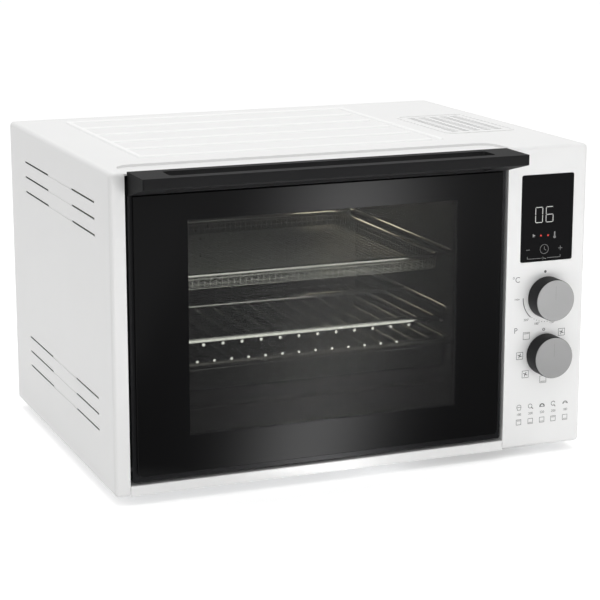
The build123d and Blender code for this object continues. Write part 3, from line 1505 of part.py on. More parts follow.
# Cable gland: flanged bush through the rear panel, where the mains cable enters
with BuildPart() as cable_gland:
    with BuildSketch(upright(panel_y - gland_nut)) as gland_inside:
        with Locations((gland_x, gland_z)):
            Circle(gland_radius + gland_flange)
    extrude(amount=-gland_nut)
    with BuildSketch(upright(panel_y)) as gland_neck:
        with Locations((gland_x, gland_z)):
            Circle(gland_radius)
    extrude(amount=-sheet)
    with BuildSketch(upright(panel_y + sheet)) as gland_outside:
        with Locations((gland_x, gland_z)):
            Circle(gland_radius + gland_flange)
    extrude(amount=-gland_nut)
    with BuildSketch(upright(panel_y + sheet + gland_nut)) as gland_nose:
        with Locations((gland_x, gland_z)):
            Circle(gland_radius)
    extrude(amount=-gland_nut)
    with BuildSketch(upright(panel_y - gland_nut)) as gland_bore:
        with Locations((gland_x, gland_z)):
            Circle(gland_bore_radius)
    extrude(amount=-(3 * gland_nut + sheet), mode=Mode.SUBTRACT)
cable_gland.part.label = "cable_gland"
export_step(cable_gland.part, "parts/cable_gland.step")

# Thermal cut-out: button thermostat on the bay side of the inner partition
with BuildPart() as thermal_cutout:
    cutout_place = (front_y + cutout_run, cavity_z + cutout_rise)
    with BuildSketch(sideways(bay_x + sheet)) as cutout_flange:
        with Locations(cutout_place):
            SlotOverall(cutout_flange_length, cutout_flange_width)
    extrude(amount=sheet)
    with BuildSketch(sideways(bay_x + 2 * sheet)) as cutout_body:
        with Locations(cutout_place):
            Circle(cutout_radius)
    extrude(amount=cutout_height)
    with BuildSketch(sideways(bay_x + 2 * sheet + cutout_height)) as cutout_tabs:
        with Locations(cutout_place):
            with GridLocations(tab_pitch, 1, 2, 1):
                Rectangle(tab_thickness, tab_width)
    extrude(amount=tab_length)
thermal_cutout.part.label = "thermal_cutout"
export_step(thermal_cutout.part, "parts/thermal_cutout.step")
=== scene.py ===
import math
import bpy
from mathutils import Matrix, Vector


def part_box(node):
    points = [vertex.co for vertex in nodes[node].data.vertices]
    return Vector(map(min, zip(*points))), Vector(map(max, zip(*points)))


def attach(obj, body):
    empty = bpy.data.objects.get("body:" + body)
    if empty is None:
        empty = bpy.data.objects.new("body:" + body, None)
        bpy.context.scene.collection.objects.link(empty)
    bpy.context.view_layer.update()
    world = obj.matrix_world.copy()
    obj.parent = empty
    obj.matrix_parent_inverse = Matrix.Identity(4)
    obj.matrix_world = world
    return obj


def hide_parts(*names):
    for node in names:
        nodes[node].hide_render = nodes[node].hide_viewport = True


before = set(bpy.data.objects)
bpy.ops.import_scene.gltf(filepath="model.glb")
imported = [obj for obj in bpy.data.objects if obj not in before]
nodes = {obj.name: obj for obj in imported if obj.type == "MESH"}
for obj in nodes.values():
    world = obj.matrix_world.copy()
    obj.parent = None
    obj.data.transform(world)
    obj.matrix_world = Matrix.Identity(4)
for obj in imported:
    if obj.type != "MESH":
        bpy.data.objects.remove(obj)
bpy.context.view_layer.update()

# Places in metres, in the frame of the solids
case_low, case_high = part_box("outer_wrap")
front_y = case_low.y
display_low, display_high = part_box("display_window")
knob_low, knob_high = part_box("temperature_knob")
lower_low, lower_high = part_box("function_knob")
MM = 0.001
BASE_Z = 0.010
# Clear part of the door glass: left, right, lower and upper edge
WINDOW = (-186 * MM, 110.5 * MM, BASE_Z + 57.8 * MM, BASE_Z + 279 * MM)
# Depth below the top of the case over which the crests of the pressed ribs get a painted highlight, drawn
# lighter
RIB_HIGHLIGHT_DEPTH = 1.1 * MM
# How far print stands in front of the control face, the display and the knob caps
PRINT_LIFT = 0.05 * MM
SCREEN_LIFT = 0.03 * MM
POINTER_LIFT = 0.02 * MM
# Font size for lettering one unit high
FONT_SIZE_PER_HEIGHT = 1.38

# Camera fitted to the photograph: lens in mm, angles in degrees
LENS = 116.39
CAMERA_PLACE = (-0.7847, -1.9669, 0.6422)
CAMERA_DOWN = 13.022
CAMERA_TURN = -21.946

# Light levels, lamps in watts. The floor glows by FLOOR_LIFT where it is seen directly,
# and the surroundings behind the object have REAR_SHARE of WORLD_LEVEL.
FLOOR_LIFT = 0.46
WORLD_LEVEL = 0.7
REAR_SHARE = 0.35
TOP_POWER = 20
FRONT_POWER = 1.35
CAVITY_POWER = 0.13
GLINT_POWER = 0.11
# Glow on the floor: its middle line from near to far, its half widths and strengths at both ends
GLOW_NEAR = Vector((0.02, -0.36))
GLOW_FAR = Vector((0.725, -1.853))
GLOW_WIDTHS = (0.069, 0.112)
GLOW_STRENGTHS = (15.12, 21)
# Door glass: index for the strength of its mirror, and the share of its tint for light that enters
GLASS_IOR = 1.15
ENTRY_SHARE = 0.27


# Materials
def new_material(name, color, rough, metal=0.0, **sockets):
    """A Principled material; returns it with its node tree and shader."""
    made = bpy.data.materials.new(name)
    made.use_nodes = True
    tree = made.node_tree
    shader = tree.nodes["Principled BSDF"]
    shader.inputs["Base Color"].default_value = (*color, 1)
    shader.inputs["Roughness"].default_value = rough
    shader.inputs["Metallic"].default_value = metal
    for key, value in sockets.items():
        shader.inputs[key.replace("_", " ")].default_value = value
    return made, tree, shader


def coords(tree):
    return tree.nodes.new("ShaderNodeTexCoord").outputs["Object"]


def noise(tree, scale, detail, stretch=None):
    """Noise texture on object coordinates, stretched along an axis if asked."""
    source = coords(tree)
    if stretch:
        mapping = tree.nodes.new("ShaderNodeMapping")
        mapping.inputs["Scale"].default_value = stretch
        tree.links.new(source, mapping.inputs["Vector"])
        source = mapping.outputs["Vector"]
    made = tree.nodes.new("ShaderNodeTexNoise")
    made.inputs["Scale"].default_value = scale
    made.inputs["Detail"].default_value = detail
    tree.links.new(source, made.inputs["Vector"])
    return made.outputs["Fac"]


def ramp(tree, fac, *stops):
    """Colour ramp between two stops, each a place and a colour."""
    made = tree.nodes.new("ShaderNodeValToRGB")
    for element, (place, color) in zip(made.color_ramp.elements, stops):
        element.position = place
        element.color = (*color, 1)
    tree.links.new(fac, made.inputs["Fac"])
    return made.outputs["Color"]


def spread(tree, fac, low_value, high_value, start=0.0, end=1.0):
    """Maps start to end onto low_value to high_value."""
    made = tree.nodes.new("ShaderNodeMapRange")
    made.inputs["From Min"].default_value = start
    made.inputs["From Max"].default_value = end
    made.inputs["To Min"].default_value = low_value
    made.inputs["To Max"].default_value = high_value
    tree.links.new(fac, made.inputs["Value"])
    return made.outputs["Result"]


def math_node(tree, operation, *values):
    """Math node on numbers or sockets."""
    made = tree.nodes.new("ShaderNodeMath")
    made.operation = operation
    for socket, value in zip(made.inputs, values):
        if isinstance(value, (int, float)):
            socket.default_value = value
        else:
            tree.links.new(value, socket)
    return made.outputs[0]


def object_axes(tree):
    made = tree.nodes.new("ShaderNodeSeparateXYZ")
    tree.links.new(coords(tree), made.inputs[0])
    return made.outputs


def bump(tree, shader, fac, strength, distance):
    made = tree.nodes.new("ShaderNodeBump")
    made.inputs["Strength"].default_value = strength
    made.inputs["Distance"].default_value = distance
    tree.links.new(fac, made.inputs["Height"])
    tree.links.new(made.outputs["Normal"], shader.inputs["Normal"])


def finish_coat(name, color, rough, grain, strength, metal=0.0, vary=0.06, stretch=None,
                distance=0.00005, **more):
    """Painted, moulded or metal finish: fine grain as bump, and slow change in colour and gloss."""
    made, tree, shader = new_material(name, color, rough, metal, **more)
    slow = noise(tree, 14, 2)
    darker = tuple(c * (1 - vary) for c in color)
    tree.links.new(ramp(tree, slow, (0.3, darker), (0.7, color)), shader.inputs["Base Color"])
    fine = noise(tree, grain, 4, stretch=stretch)
    gloss = spread(tree, fine, max(0.02, rough * 0.85), min(1, rough * 1.15))
    tree.links.new(gloss, shader.inputs["Roughness"])
    bump(tree, shader, fine, strength, distance)
    return made


white_enamel = finish_coat("white_enamel", (0.83, 0.83, 0.825), 0.38, 900, 0.08, vary=0.012)
# Painted highlight: the crests of the pressed ribs are drawn lighter than the flat of the sheet, in place
# of the light they catch
tree = white_enamel.node_tree
base = tree.nodes["Principled BSDF"].inputs["Base Color"]
rib_painted_highlight = tree.nodes.new("ShaderNodeMix")
rib_painted_highlight.data_type = "RGBA"
height = spread(tree, object_axes(tree)["Z"], 0, 1, case_high.z - RIB_HIGHLIGHT_DEPTH, case_high.z)
tree.links.new(height, rib_painted_highlight.inputs[0])
tree.links.new(base.links[0].from_socket, rib_painted_highlight.inputs[6])
rib_painted_highlight.inputs[7].default_value = (0.93, 0.93, 0.925, 1)
tree.links.new(rib_painted_highlight.outputs[2], base)
zinc_sheet = finish_coat("zinc_sheet", (0.5, 0.51, 0.52), 0.42, 160, 0.12, metal=0.9, vary=0.1)
foot_rubber = finish_coat("foot_rubber", (0.018, 0.018, 0.018), 0.8, 1500, 0.3)
screw_steel = finish_coat("screw_steel", (0.5, 0.5, 0.51), 0.3, 700, 0.1, metal=1.0)
cavity_enamel = finish_coat("cavity_enamel", (0.034, 0.034, 0.033), 0.5, 260, 0.15, vary=0.15)
# Near-black finish: on the fan housing behind the cavity outlets it is painted shade. The inner glass clips
# take it too.
shade_black = finish_coat("shade_black", (0.014, 0.014, 0.014), 0.75, 300, 0.15, Specular_IOR_Level=0.1)
frame_enamel = finish_coat("frame_enamel", (0.14, 0.14, 0.14), 0.42, 260, 0.12, vary=0.1)
seal_braid = finish_coat("seal_braid", (0.03, 0.03, 0.03), 0.9, 1200, 0.9, distance=0.0004)
mineral_wool = finish_coat("mineral_wool", (0.5, 0.44, 0.3), 0.95, 420, 1.0, vary=0.3, distance=0.001)
faced_wool = finish_coat("faced_wool", (0.02, 0.019, 0.017), 0.95, 420, 1.0, vary=0.3, distance=0.001)
element_steel = finish_coat("element_steel", (0.09, 0.085, 0.08), 0.42, 500, 0.2, metal=0.8, vary=0.3)
lamp_ceramic = finish_coat("lamp_ceramic", (0.7, 0.68, 0.62), 0.5, 600, 0.15)
motor_steel = finish_coat("motor_steel", (0.12, 0.12, 0.13), 0.5, 900, 0.4, metal=0.6,
                          stretch=(0.05, 1, 0.05))
shaft_steel = finish_coat("shaft_steel", (0.55, 0.55, 0.56), 0.22, 900, 0.08, metal=1.0)
fan_aluminium = finish_coat("fan_aluminium", (0.66, 0.67, 0.68), 0.33, 500, 0.12, metal=1.0, vary=0.12)
door_black = finish_coat("door_black", (0.009, 0.009, 0.01), 0.45, 900, 0.08, Specular_IOR_Level=0.12)
handle_black = finish_coat("handle_black", (0.013, 0.013, 0.0135), 0.6, 1800, 0.3, vary=0.1,
                           distance=0.0001, Specular_IOR_Level=0.06)
hinge_steel = finish_coat("hinge_steel", (0.45, 0.45, 0.46), 0.36, 400, 0.15, metal=1.0, vary=0.15)
bright_wire = finish_coat("bright_wire", (0.75, 0.75, 0.74), 0.18, 400, 0.06, metal=1.0, vary=0.1)
mesh_steel = finish_coat("mesh_steel", (0.7, 0.7, 0.68), 0.25, 400, 0.06, metal=1.0, vary=0.12)
tray_enamel = finish_coat("tray_enamel", (0.02, 0.02, 0.021), 0.22, 300, 0.1, vary=0.2)
display_black = finish_coat("display_black", (0.005, 0.005, 0.0055), 0.2, 60, 0.01,
                            Specular_IOR_Level=0.05)
board_green = finish_coat("board_green", (0.02, 0.12, 0.05), 0.45, 500, 0.5, vary=0.4, distance=0.0003)
carrier_white = finish_coat("carrier_white", (0.62, 0.62, 0.6), 0.5, 1200, 0.2)
switch_plastic = finish_coat("switch_plastic", (0.05, 0.045, 0.04), 0.5, 1200, 0.3)
knob_black = finish_coat("knob_black", (0.012, 0.012, 0.013), 0.5, 1500, 0.15, Specular_IOR_Level=0.12)
cap_aluminium = finish_coat("cap_aluminium", (0.28, 0.28, 0.28), 0.36, 900, 0.15, metal=0.55, vary=0.05,
                            stretch=(0.04, 1, 1))
terminal_white = finish_coat("terminal_white", (0.7, 0.7, 0.66), 0.5, 900, 0.2)
gland_black = finish_coat("gland_black", (0.015, 0.015, 0.015), 0.5, 1200, 0.2)


def pane_material(name, tint, reflect_rough, ior, border=None, border_rough=0.14, mirror=0.8, haze=0.0):
    """Clear pane that keeps its reflection; outside the window box, if given, it is printed black."""
    made = bpy.data.materials.new(name)
    made.use_nodes = True
    tree = made.node_tree
    links, nodes_ = tree.links, tree.nodes
    out = nodes_["Material Output"]
    printed = nodes_["Principled BSDF"]
    printed.inputs["Base Color"].default_value = (0.0062, 0.0062, 0.0065, 1)
    printed.inputs["Roughness"].default_value = border_rough
    printed.inputs["IOR"].default_value = ior
    # Light that enters is dimmed more than the view out, as behind a half-mirrored door
    clear = nodes_.new("ShaderNodeBsdfTransparent")
    seen = nodes_.new("ShaderNodeLightPath").outputs["Is Camera Ray"]
    entering = [c * ENTRY_SHARE for c in tint]
    links.new(ramp(tree, seen, (0, entering), (1, tint)), clear.inputs["Color"])
    sheen = nodes_.new("ShaderNodeBsdfGlossy")
    sheen.inputs["Roughness"].default_value = reflect_rough
    sheen.inputs["Color"].default_value = (mirror, mirror, mirror, 1)
    edge = nodes_.new("ShaderNodeFresnel")
    edge.inputs["IOR"].default_value = ior
    see = nodes_.new("ShaderNodeMixShader")
    links.new(edge.outputs[0], see.inputs[0])
    links.new(clear.outputs[0], see.inputs[1])
    links.new(sheen.outputs[0], see.inputs[2])
    if border is None:
        links.new(see.outputs[0], out.inputs["Surface"])
        return made
    veil = nodes_.new("ShaderNodeBsdfDiffuse")
    veil.inputs["Color"].default_value = (haze, haze, haze, 1)
    hazed = nodes_.new("ShaderNodeAddShader")
    links.new(see.outputs[0], hazed.inputs[0])
    links.new(veil.outputs[0], hazed.inputs[1])
    x0, x1, z0, z1 = border
    axes = object_axes(tree)
    across = math_node(tree, "COMPARE", axes["X"], (x0 + x1) / 2, (x1 - x0) / 2)
    upright = math_node(tree, "COMPARE", axes["Z"], (z0 + z1) / 2, (z1 - z0) / 2)
    mix = nodes_.new("ShaderNodeMixShader")
    links.new(math_node(tree, "MULTIPLY", across, upright), mix.inputs[0])
    links.new(printed.outputs[0], mix.inputs[1])
    links.new(hazed.outputs[0], mix.inputs[2])
    links.new(mix.outputs[0], out.inputs["Surface"])
    return made


door_glass = pane_material("door_glass", (0.62, 0.62, 0.6), 0.24, GLASS_IOR, border=WINDOW,
                           mirror=0.55, haze=0.014)
inner_pane = pane_material("inner_pane", (0.9, 0.91, 0.89), 0.1, 1.1)
lamp_glass = pane_material("lamp_glass", (0.95, 0.93, 0.86), 0.08, 1.45)


def glow(name, color, strength):
    made, tree, shader = new_material(name, color, 0.4)
    shader.inputs["Emission Color"].default_value = (*color, 1)
    shader.inputs["Emission Strength"].default_value = strength
    fine = noise(tree, 300, 2)
    bump(tree, shader, fine, 0.05, 0.00002)
    return made


bulb_glow = glow("bulb_glow", (1.0, 0.82, 0.5), 6.0)
digit_glow = glow("digit_glow", (0.5, 0.5, 0.49), 0.45)
faint_glow = glow("faint_glow", (0.2, 0.2, 0.2), 0.16)
red_glow = glow("red_glow", (0.6, 0.03, 0.02), 0.35)
print_grey = finish_coat("print_grey", (0.19, 0.19, 0.195), 0.5, 900, 0.02)
print_dark = finish_coat("print_dark", (0.1, 0.1, 0.1), 0.5, 900, 0.02)
pointer_grey = finish_coat("pointer_grey", (0.2, 0.2, 0.2), 0.5, 900, 0.02)

FINISHES = {
    white_enamel: ["outer_wrap", "bottom_rail"],
    zinc_sheet: ["base_pan", "rear_panel", "inner_partition"],
    shade_black: ["fan_housing", "inner_glass_clips"],
    foot_rubber: ["feet"],
    screw_steel: ["rear_screws", "handle_screws"],
    cavity_enamel: ["cavity_wrap", "cavity_back", "runners", "door_inner_panel"],
    frame_enamel: ["cavity_front_frame"],
    seal_braid: ["door_seal"],
    mineral_wool: ["cavity_insulation"],
    faced_wool: ["rear_insulation"],
    # The low grid frame takes this dark steel as painted shade, so that only its wires stay bright
    element_steel: ["upper_element", "lower_element", "low_grid_frame", "convection_fan", "fan_nut"],
    lamp_glass: ["lamp_cover"],
    bulb_glow: ["lamp_bulb"],
    lamp_ceramic: ["lamp_holder", "thermal_cutout"],
    motor_steel: ["fan_motor"],
    shaft_steel: ["motor_shaft", "hinge_pins", "temperature_spindle", "function_spindle"],
    fan_aluminium: ["cooling_fan"],
    door_black: ["door_frame"],
    door_glass: ["outer_glass"],
    inner_pane: ["inner_glass"],
    hinge_steel: ["left_hinge_arm", "right_hinge_arm", "left_hinge_bracket",
                  "right_hinge_bracket", "hinge_springs"],
    handle_black: ["door_handle"],
    bright_wire: ["wire_rack", "low_grid_wires", "basket_rim"],
    mesh_steel: ["basket_sides", "basket_floor"],
    tray_enamel: ["tray"],
    display_black: ["display_window"],
    board_green: ["display_board", "power_board"],
    carrier_white: ["control_carrier"],
    switch_plastic: ["thermostat", "function_switch"],
    knob_black: ["temperature_knob", "function_knob"],
    cap_aluminium: ["temperature_cap", "function_cap"],
    terminal_white: ["terminal_block"],
    gland_black: ["cable_gland"],
}
for finish, names in FINISHES.items():
    for name in names:
        for place in nodes[name].material_slots:
            place.material = finish


# Pieces
def make_mesh(name, verts, faces, material, body, smooth=False):
    data = bpy.data.meshes.new(name)
    data.from_pydata(verts, [], faces)
    data.validate()
    if smooth:
        for polygon in data.polygons:
            polygon.use_smooth = True
    data.materials.append(material)
    made = bpy.data.objects.new(name, data)
    bpy.context.scene.collection.objects.link(made)
    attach(made, body)
    return made


def tube(verts, faces, path, radius, sides=6, closed=False):
    """Adds a wire along the points of a path to the lists."""
    count = len(path)
    first = len(verts)
    for i, point in enumerate(path):
        before = path[i - 1] if i or closed else path[i]
        after = path[(i + 1) % count] if i < count - 1 or closed else path[i]
        along = (Vector(after) - Vector(before)).normalized()
        side = along.cross(Vector((0, 0, 1)))
        if side.length < 0.3:
            side = along.cross(Vector((0.6, 0.8, 0)))
        side.normalize()
        up = side.cross(along)
        for k in range(sides):
            turn = 2 * math.pi * k / sides
            verts.append(Vector(point) + radius * (math.cos(turn) * side + math.sin(turn) * up))
    rings = count if closed else count - 1
    for i in range(rings):
        for k in range(sides):
            a = first + i * sides + k
            b = first + i * sides + (k + 1) % sides
            c = first + ((i + 1) % count) * sides + (k + 1) % sides
            d = first + ((i + 1) % count) * sides + k
            faces.append((a, b, c, d))
    if not closed:
        faces.append([first + k for k in reversed(range(sides))])
        faces.append([first + (count - 1) * sides + k for k in range(sides)])


# Basket: fine welded mesh; every wire runs up the wall, across the floor and up again
floor_low, floor_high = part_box("basket_floor")
sides_low, sides_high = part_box("basket_sides")
wire = 0.42 * MM
pitch = 6.5 * MM
corner = 14 * MM
bend = 3.2 * MM
mid_x = (floor_low.x + floor_high.x) / 2
mid_y = (floor_low.y + floor_high.y) / 2
half_x = (floor_high.x - floor_low.x) / 2 - 0.6 * MM
half_y = (floor_high.y - floor_low.y) / 2 - 0.6 * MM
mesh_z = (floor_low.z + floor_high.z) / 2
mesh_top = sides_high.z
edge = 3 * MM
verts, faces = [], []


def basket_wire(offset, half_across, half_along, along_x, height):
    """Path of the wire at an offset from the middle: down the wall, across and up."""
    into = max(0.0, abs(offset) - half_across + corner)
    reach = half_along - corner + math.sqrt(max(0.0, corner ** 2 - into ** 2))
    stations = [(-reach, mesh_top)]
    stations += [(-reach + bend - bend * math.cos(a), mesh_z + height + bend - bend * math.sin(a))
                 for a in (0, math.pi / 6, math.pi / 3, math.pi / 2)]
    stations += [(-s, z) for s, z in reversed(stations)]
    if along_x:
        return [(mid_x + s, mid_y + offset, z) for s, z in stations]
    return [(mid_x + offset, mid_y + s, z) for s, z in stations]


count_x = int((half_x - edge) / pitch)
count_y = int((half_y - edge) / pitch)
for k in range(-count_x, count_x + 1):
    tube(verts, faces, basket_wire(k * pitch, half_x, half_y, False, wire), wire)
for k in range(-count_y, count_y + 1):
    tube(verts, faces, basket_wire(k * pitch, half_y, half_x, True, -wire * 0.8), wire)


def rounded_loop(half_w, half_d, radius, z, center, steps=6):
    """Points of a level rectangle with rounded corners."""
    points = []
    for cx, cy, start in ((1, 1, 0), (-1, 1, 90), (-1, -1, 180), (1, -1, 270)):
        for s in range(steps + 1):
            a = math.radians(start + 90 * s / steps)
            points.append((center[0] + cx * (half_w - radius) + radius * math.cos(a),
                           center[1] + cy * (half_d - radius) + radius * math.sin(a), z))
    return points


# Two wires round the wall
for share in (0.42, 0.86):
    ring_z = mesh_z + share * (mesh_top - mesh_z)
    ring = rounded_loop(half_x + 0.7 * wire, half_y + 0.7 * wire, corner, ring_z, (mid_x, mid_y))
    tube(verts, faces, ring, wire, closed=True)
basket_mesh = make_mesh("basket_mesh", verts, faces, mesh_steel, "basket", smooth=True)
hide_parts("basket_floor", "basket_sides")


# Print on the control face and the display, as flat strokes in the plane of the face
def ribbon(verts, faces, points, width, y, closed=False):
    """Flat stroke through (x, z) points, in mm from the middle of the case and its underside."""
    pts = [Vector((p[0] * MM, p[1] * MM)) for p in points]
    n = len(pts)
    for i in range(n if closed else n - 1):
        a, b = pts[i], pts[(i + 1) % n]
        along = (b - a).normalized()
        across = Vector((-along.y, along.x)) * width * MM / 2
        a2 = a - along * width * MM / 2
        b2 = b + along * width * MM / 2
        first = len(verts)
        for spot in (a2 + across, b2 + across, b2 - across, a2 - across):
            verts.append((spot.x, y, BASE_Z + spot.y))
        faces.append((first + 3, first + 2, first + 1, first))


def arc(cx, cz, radius, start, end, steps=18):
    turns = [math.radians(start + (end - start) * s / steps) for s in range(steps + 1)]
    return [(cx + radius * math.cos(a), cz + radius * math.sin(a)) for a in turns]


def square(cx, cz, size):
    h = size / 2
    return [(cx - h, cz - h), (cx + h, cz - h), (cx + h, cz + h), (cx - h, cz + h)]


def disc(verts, faces, cx, cz, radius, y, sides=20):
    """Flat filled circle, placed as a ribbon is."""
    first = len(verts)
    for k in range(sides):
        a = 2 * math.pi * k / sides
        verts.append(((cx + radius * math.cos(a)) * MM, y, BASE_Z + (cz + radius * math.sin(a)) * MM))
    faces.append([first + k for k in range(sides)])


print_y = front_y - PRINT_LIFT
verts, faces = [], []
# Temperature scale: an arc at the left that goes on below as dots, and one dot at the top
scale_x, scale_z = 219.4, 166.4
ribbon(verts, faces, arc(scale_x, scale_z, 28, 180, 228), 0.9, print_y)
disc(verts, faces, 217.4, 194.2, 1.5, print_y)
for turn in range(232, 296, 7):
    dot = arc(scale_x, scale_z, 27.4, turn, turn, 1)[0]
    disc(verts, faces, *dot, 0.45, print_y, 8)
# Oven symbols round the function knob
icon = 7.6
for cx, cz, kind in ((196.4, 125, "top"), (188.9, 103.5, "fan"), (196.3, 82.4, "fan"),
                     (218.1, 74.8, "bottom"), (239.3, 125.6, "fan")):
    ribbon(verts, faces, square(cx, cz, icon), 0.5, print_y, closed=True)
    if kind == "top":
        ribbon(verts, faces, [(cx - 2.6, cz + 2.4), (cx + 2.6, cz + 2.4)], 0.6, print_y)
    elif kind == "bottom":
        ribbon(verts, faces, [(cx - 2.6, cz - 2.4), (cx + 2.6, cz - 2.4)], 0.6, print_y)
    else:
        for turn in range(4):
            a = math.radians(45 + 90 * turn)
            root = (cx + 0.5 * math.cos(a), cz + 0.5 * math.sin(a))
            tip = (cx + 2.2 * math.cos(a + 0.35), cz + 2.2 * math.sin(a + 0.35))
            ribbon(verts, faces, [root, tip], 0.9, print_y)
# Small squares in a row below the food symbols
FOOD_PLACES = (189.7, 204, 218.1, 232.1, 246.6)
for k, cx in enumerate(FOOD_PLACES):
    ribbon(verts, faces, square(cx, 29, 5.7), 0.5, print_y, closed=True)
    if k in (0, 3):
        ribbon(verts, faces, [(cx - 1.9, 30.6), (cx + 1.9, 30.6)], 0.5, print_y)
    else:
        ribbon(verts, faces, [(cx - 1.9, 27.4), (cx + 1.9, 27.4)], 0.5, print_y)
# Food symbols: cupcake, chicken leg, loaf, fish and croissant, as simple outlines
cx, cz = FOOD_PLACES[0], 45.5
ribbon(verts, faces, arc(cx, cz + 0.4, 2.6, 0, 180, 8), 0.5, print_y)
cup = [(cx - 2.6, cz + 0.2), (cx - 1.7, cz - 2.8), (cx + 1.7, cz - 2.8), (cx + 2.6, cz + 0.2)]
ribbon(verts, faces, cup, 0.5, print_y, closed=True)
cx = FOOD_PLACES[1]
ribbon(verts, faces, arc(cx - 0.6, cz + 0.5, 2.3, 0, 360, 14), 0.5, print_y)
ribbon(verts, faces, [(cx + 1, cz - 1), (cx + 2.8, cz - 2.6)], 0.9, print_y)
cx = FOOD_PLACES[2]
ribbon(verts, faces, [(cx - 3, cz - 1.6), (cx + 3, cz - 1.6)], 0.6, print_y)
for lift in (0.2, 1.3):
    ribbon(verts, faces, arc(cx, cz - 1.4 + lift * 0.4, 2.9 - lift * 0.5, 10, 170, 8), 0.9, print_y)
cx = FOOD_PLACES[3]
ribbon(verts, faces, arc(cx - 0.4, cz + 0.6, 2.4, 20, 300, 12), 0.6, print_y)
ribbon(verts, faces, [(cx + 0.6, cz - 0.6), (cx + 2.2, cz - 3)], 0.7, print_y)
cx = FOOD_PLACES[4]
ribbon(verts, faces, arc(cx, cz - 1.4, 3, 10, 170, 10), 0.6, print_y)
ribbon(verts, faces, arc(cx, cz - 2.6, 3, 30, 150, 10), 0.6, print_y)
make_mesh("panel_print", verts, faces, print_dark, "case")


def words(name, text, x, z, size, material, y=print_y, body="case"):
    """Lettering of the given height in mm, centred on a point of the control face."""
    data = bpy.data.curves.new(name, "FONT")
    data.body = text
    data.size = size * MM * FONT_SIZE_PER_HEIGHT
    data.align_x = "CENTER"
    data.align_y = "CENTER"
    data.materials.append(material)
    made = bpy.data.objects.new(name, data)
    made.rotation_euler = (math.radians(90), 0, 0)
    made.location = (x * MM, y, BASE_Z + z * MM)
    bpy.context.scene.collection.objects.link(made)
    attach(made, body)
    return made


words("print_celsius", "°C", 182.5, 187.2, 6.2, print_grey)
words("print_program", "P", 183.3, 131.4, 6.2, print_grey)
words("print_max", "max", 184.1, 166.3, 2.6, print_dark)
words("print_200", "200°", 195.9, 142.6, 2.6, print_dark)
words("print_180", "180°", 208.7, 137.4, 2.6, print_dark)
words("print_150", "150°", 227.5, 137.6, 2.6, print_dark)
verts, faces = [], []
ribbon(verts, faces, arc(217.4, 130.4, 1.3, 0, 360, 12), 0.7, print_y)
make_mesh("print_zero", verts, faces, print_grey, "case")
for k, (cx, number) in enumerate(zip(FOOD_PLACES, ("180", "200", "220", "200", "180"))):
    words(f"print_food_{k + 1}", number, cx, 37.6, 2.7, print_dark)

# Display: two thin digits, a row of signs, and the touch marks
screen_y = display_low.y - SCREEN_LIFT
verts, faces = [], []
digit_width, digit_height = 8.4, 16.4
middle = 256.3
top = middle + digit_height / 2
bottom = middle - digit_height / 2
gap = 0.8
for digit, left in (("0", 203.6), ("6", 216.2)):
    right = left + digit_width
    strokes = [[(left, top), (right, top)], [(left, top), (left, middle)], [(left, middle), (left, bottom)],
               [(left, bottom), (right, bottom)], [(right, middle), (right, bottom)]]
    if digit == "6":
        strokes.append([(left, middle), (right, middle)])
    else:
        strokes.append([(right, top), (right, middle)])
    for (ax, az), (bx, bz) in strokes:
        length = math.hypot(bx - ax, bz - az)
        in_x = gap * (bx - ax) / length
        in_z = gap * (bz - az) / length
        ribbon(verts, faces, [(ax + in_x, az + in_z), (bx - in_x, bz - in_z)], 0.62, screen_y)
make_mesh("screen_digits", verts, faces, digit_glow, "case")

# Arrow, clock, minus and plus, bracket with a key, and thermometer
arrow = ((200.8, 236.1), (204.1, 234.3), (200.8, 232.5))
verts = [(ax * MM, screen_y, BASE_Z + az * MM) for ax, az in arrow]
faces = [(2, 1, 0)]
ribbon(verts, faces, arc(215.1, 218.9, 5.0, 0, 360, 28), 0.55, screen_y)
ribbon(verts, faces, [(215.1, 221.6), (215.1, 218.9), (217.2, 217.6)], 0.5, screen_y)
ribbon(verts, faces, [(193.6, 219.1), (197.6, 219.1)], 0.5, screen_y)
ribbon(verts, faces, [(232.4, 218.8), (236.6, 218.8)], 0.5, screen_y)
ribbon(verts, faces, [(234.5, 216.7), (234.5, 220.9)], 0.5, screen_y)
ribbon(verts, faces, [(195, 211.6), (195, 209.2), (211, 209.2)], 0.4, screen_y)
ribbon(verts, faces, [(219, 209.2), (234.6, 209.2), (234.6, 211.6)], 0.4, screen_y)
ribbon(verts, faces, arc(213.6, 209.2, 1.1, 0, 360, 12), 0.4, screen_y)
ribbon(verts, faces, [(214.7, 209.2), (217.4, 208.2)], 0.45, screen_y)
ribbon(verts, faces, [(227.2, 231.8), (227.2, 236.4)], 1.4, screen_y)
disc(verts, faces, 227.2, 231.4, 1.5, screen_y)
make_mesh("screen_marks", verts, faces, faint_glow, "case")

verts, faces = [], []
disc(verts, faces, 210.7, 233.8, 0.95, screen_y)
disc(verts, faces, 219.2, 233.6, 0.95, screen_y)
make_mesh("screen_dots", verts, faces, red_glow, "case")

# Pointer lines cut into the caps
POINTERS = (("temperature_pointer", knob_low, knob_high, "temperature_control"),
            ("function_pointer", lower_low, lower_high, "function_control"))
for name, box_low, box_high, body in POINTERS:
    cap_low, cap_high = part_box(name.replace("pointer", "cap"))
    cx = (box_low.x + box_high.x) / 2 / MM
    cz = ((box_low.z + box_high.z) / 2 - BASE_Z) / MM
    verts, faces = [], []
    ribbon(verts, faces, [(cx, cz + 1.5), (cx, cz + 15.5)], 0.5, cap_low.y - POINTER_LIFT)
    make_mesh(name, verts, faces, pointer_grey, body)


# Stage: floor and surroundings, lifted to white only where the camera or a reflection sees them
def seen_directly(tree):
    """1 for camera, mirror and see-through rays, 0 for light that falls on the object."""
    path = tree.nodes.new("ShaderNodeLightPath").outputs
    mirrored = math_node(tree, "MAXIMUM", path["Is Camera Ray"], path["Is Glossy Ray"])
    return math_node(tree, "MAXIMUM", mirrored, path["Is Transmission Ray"])


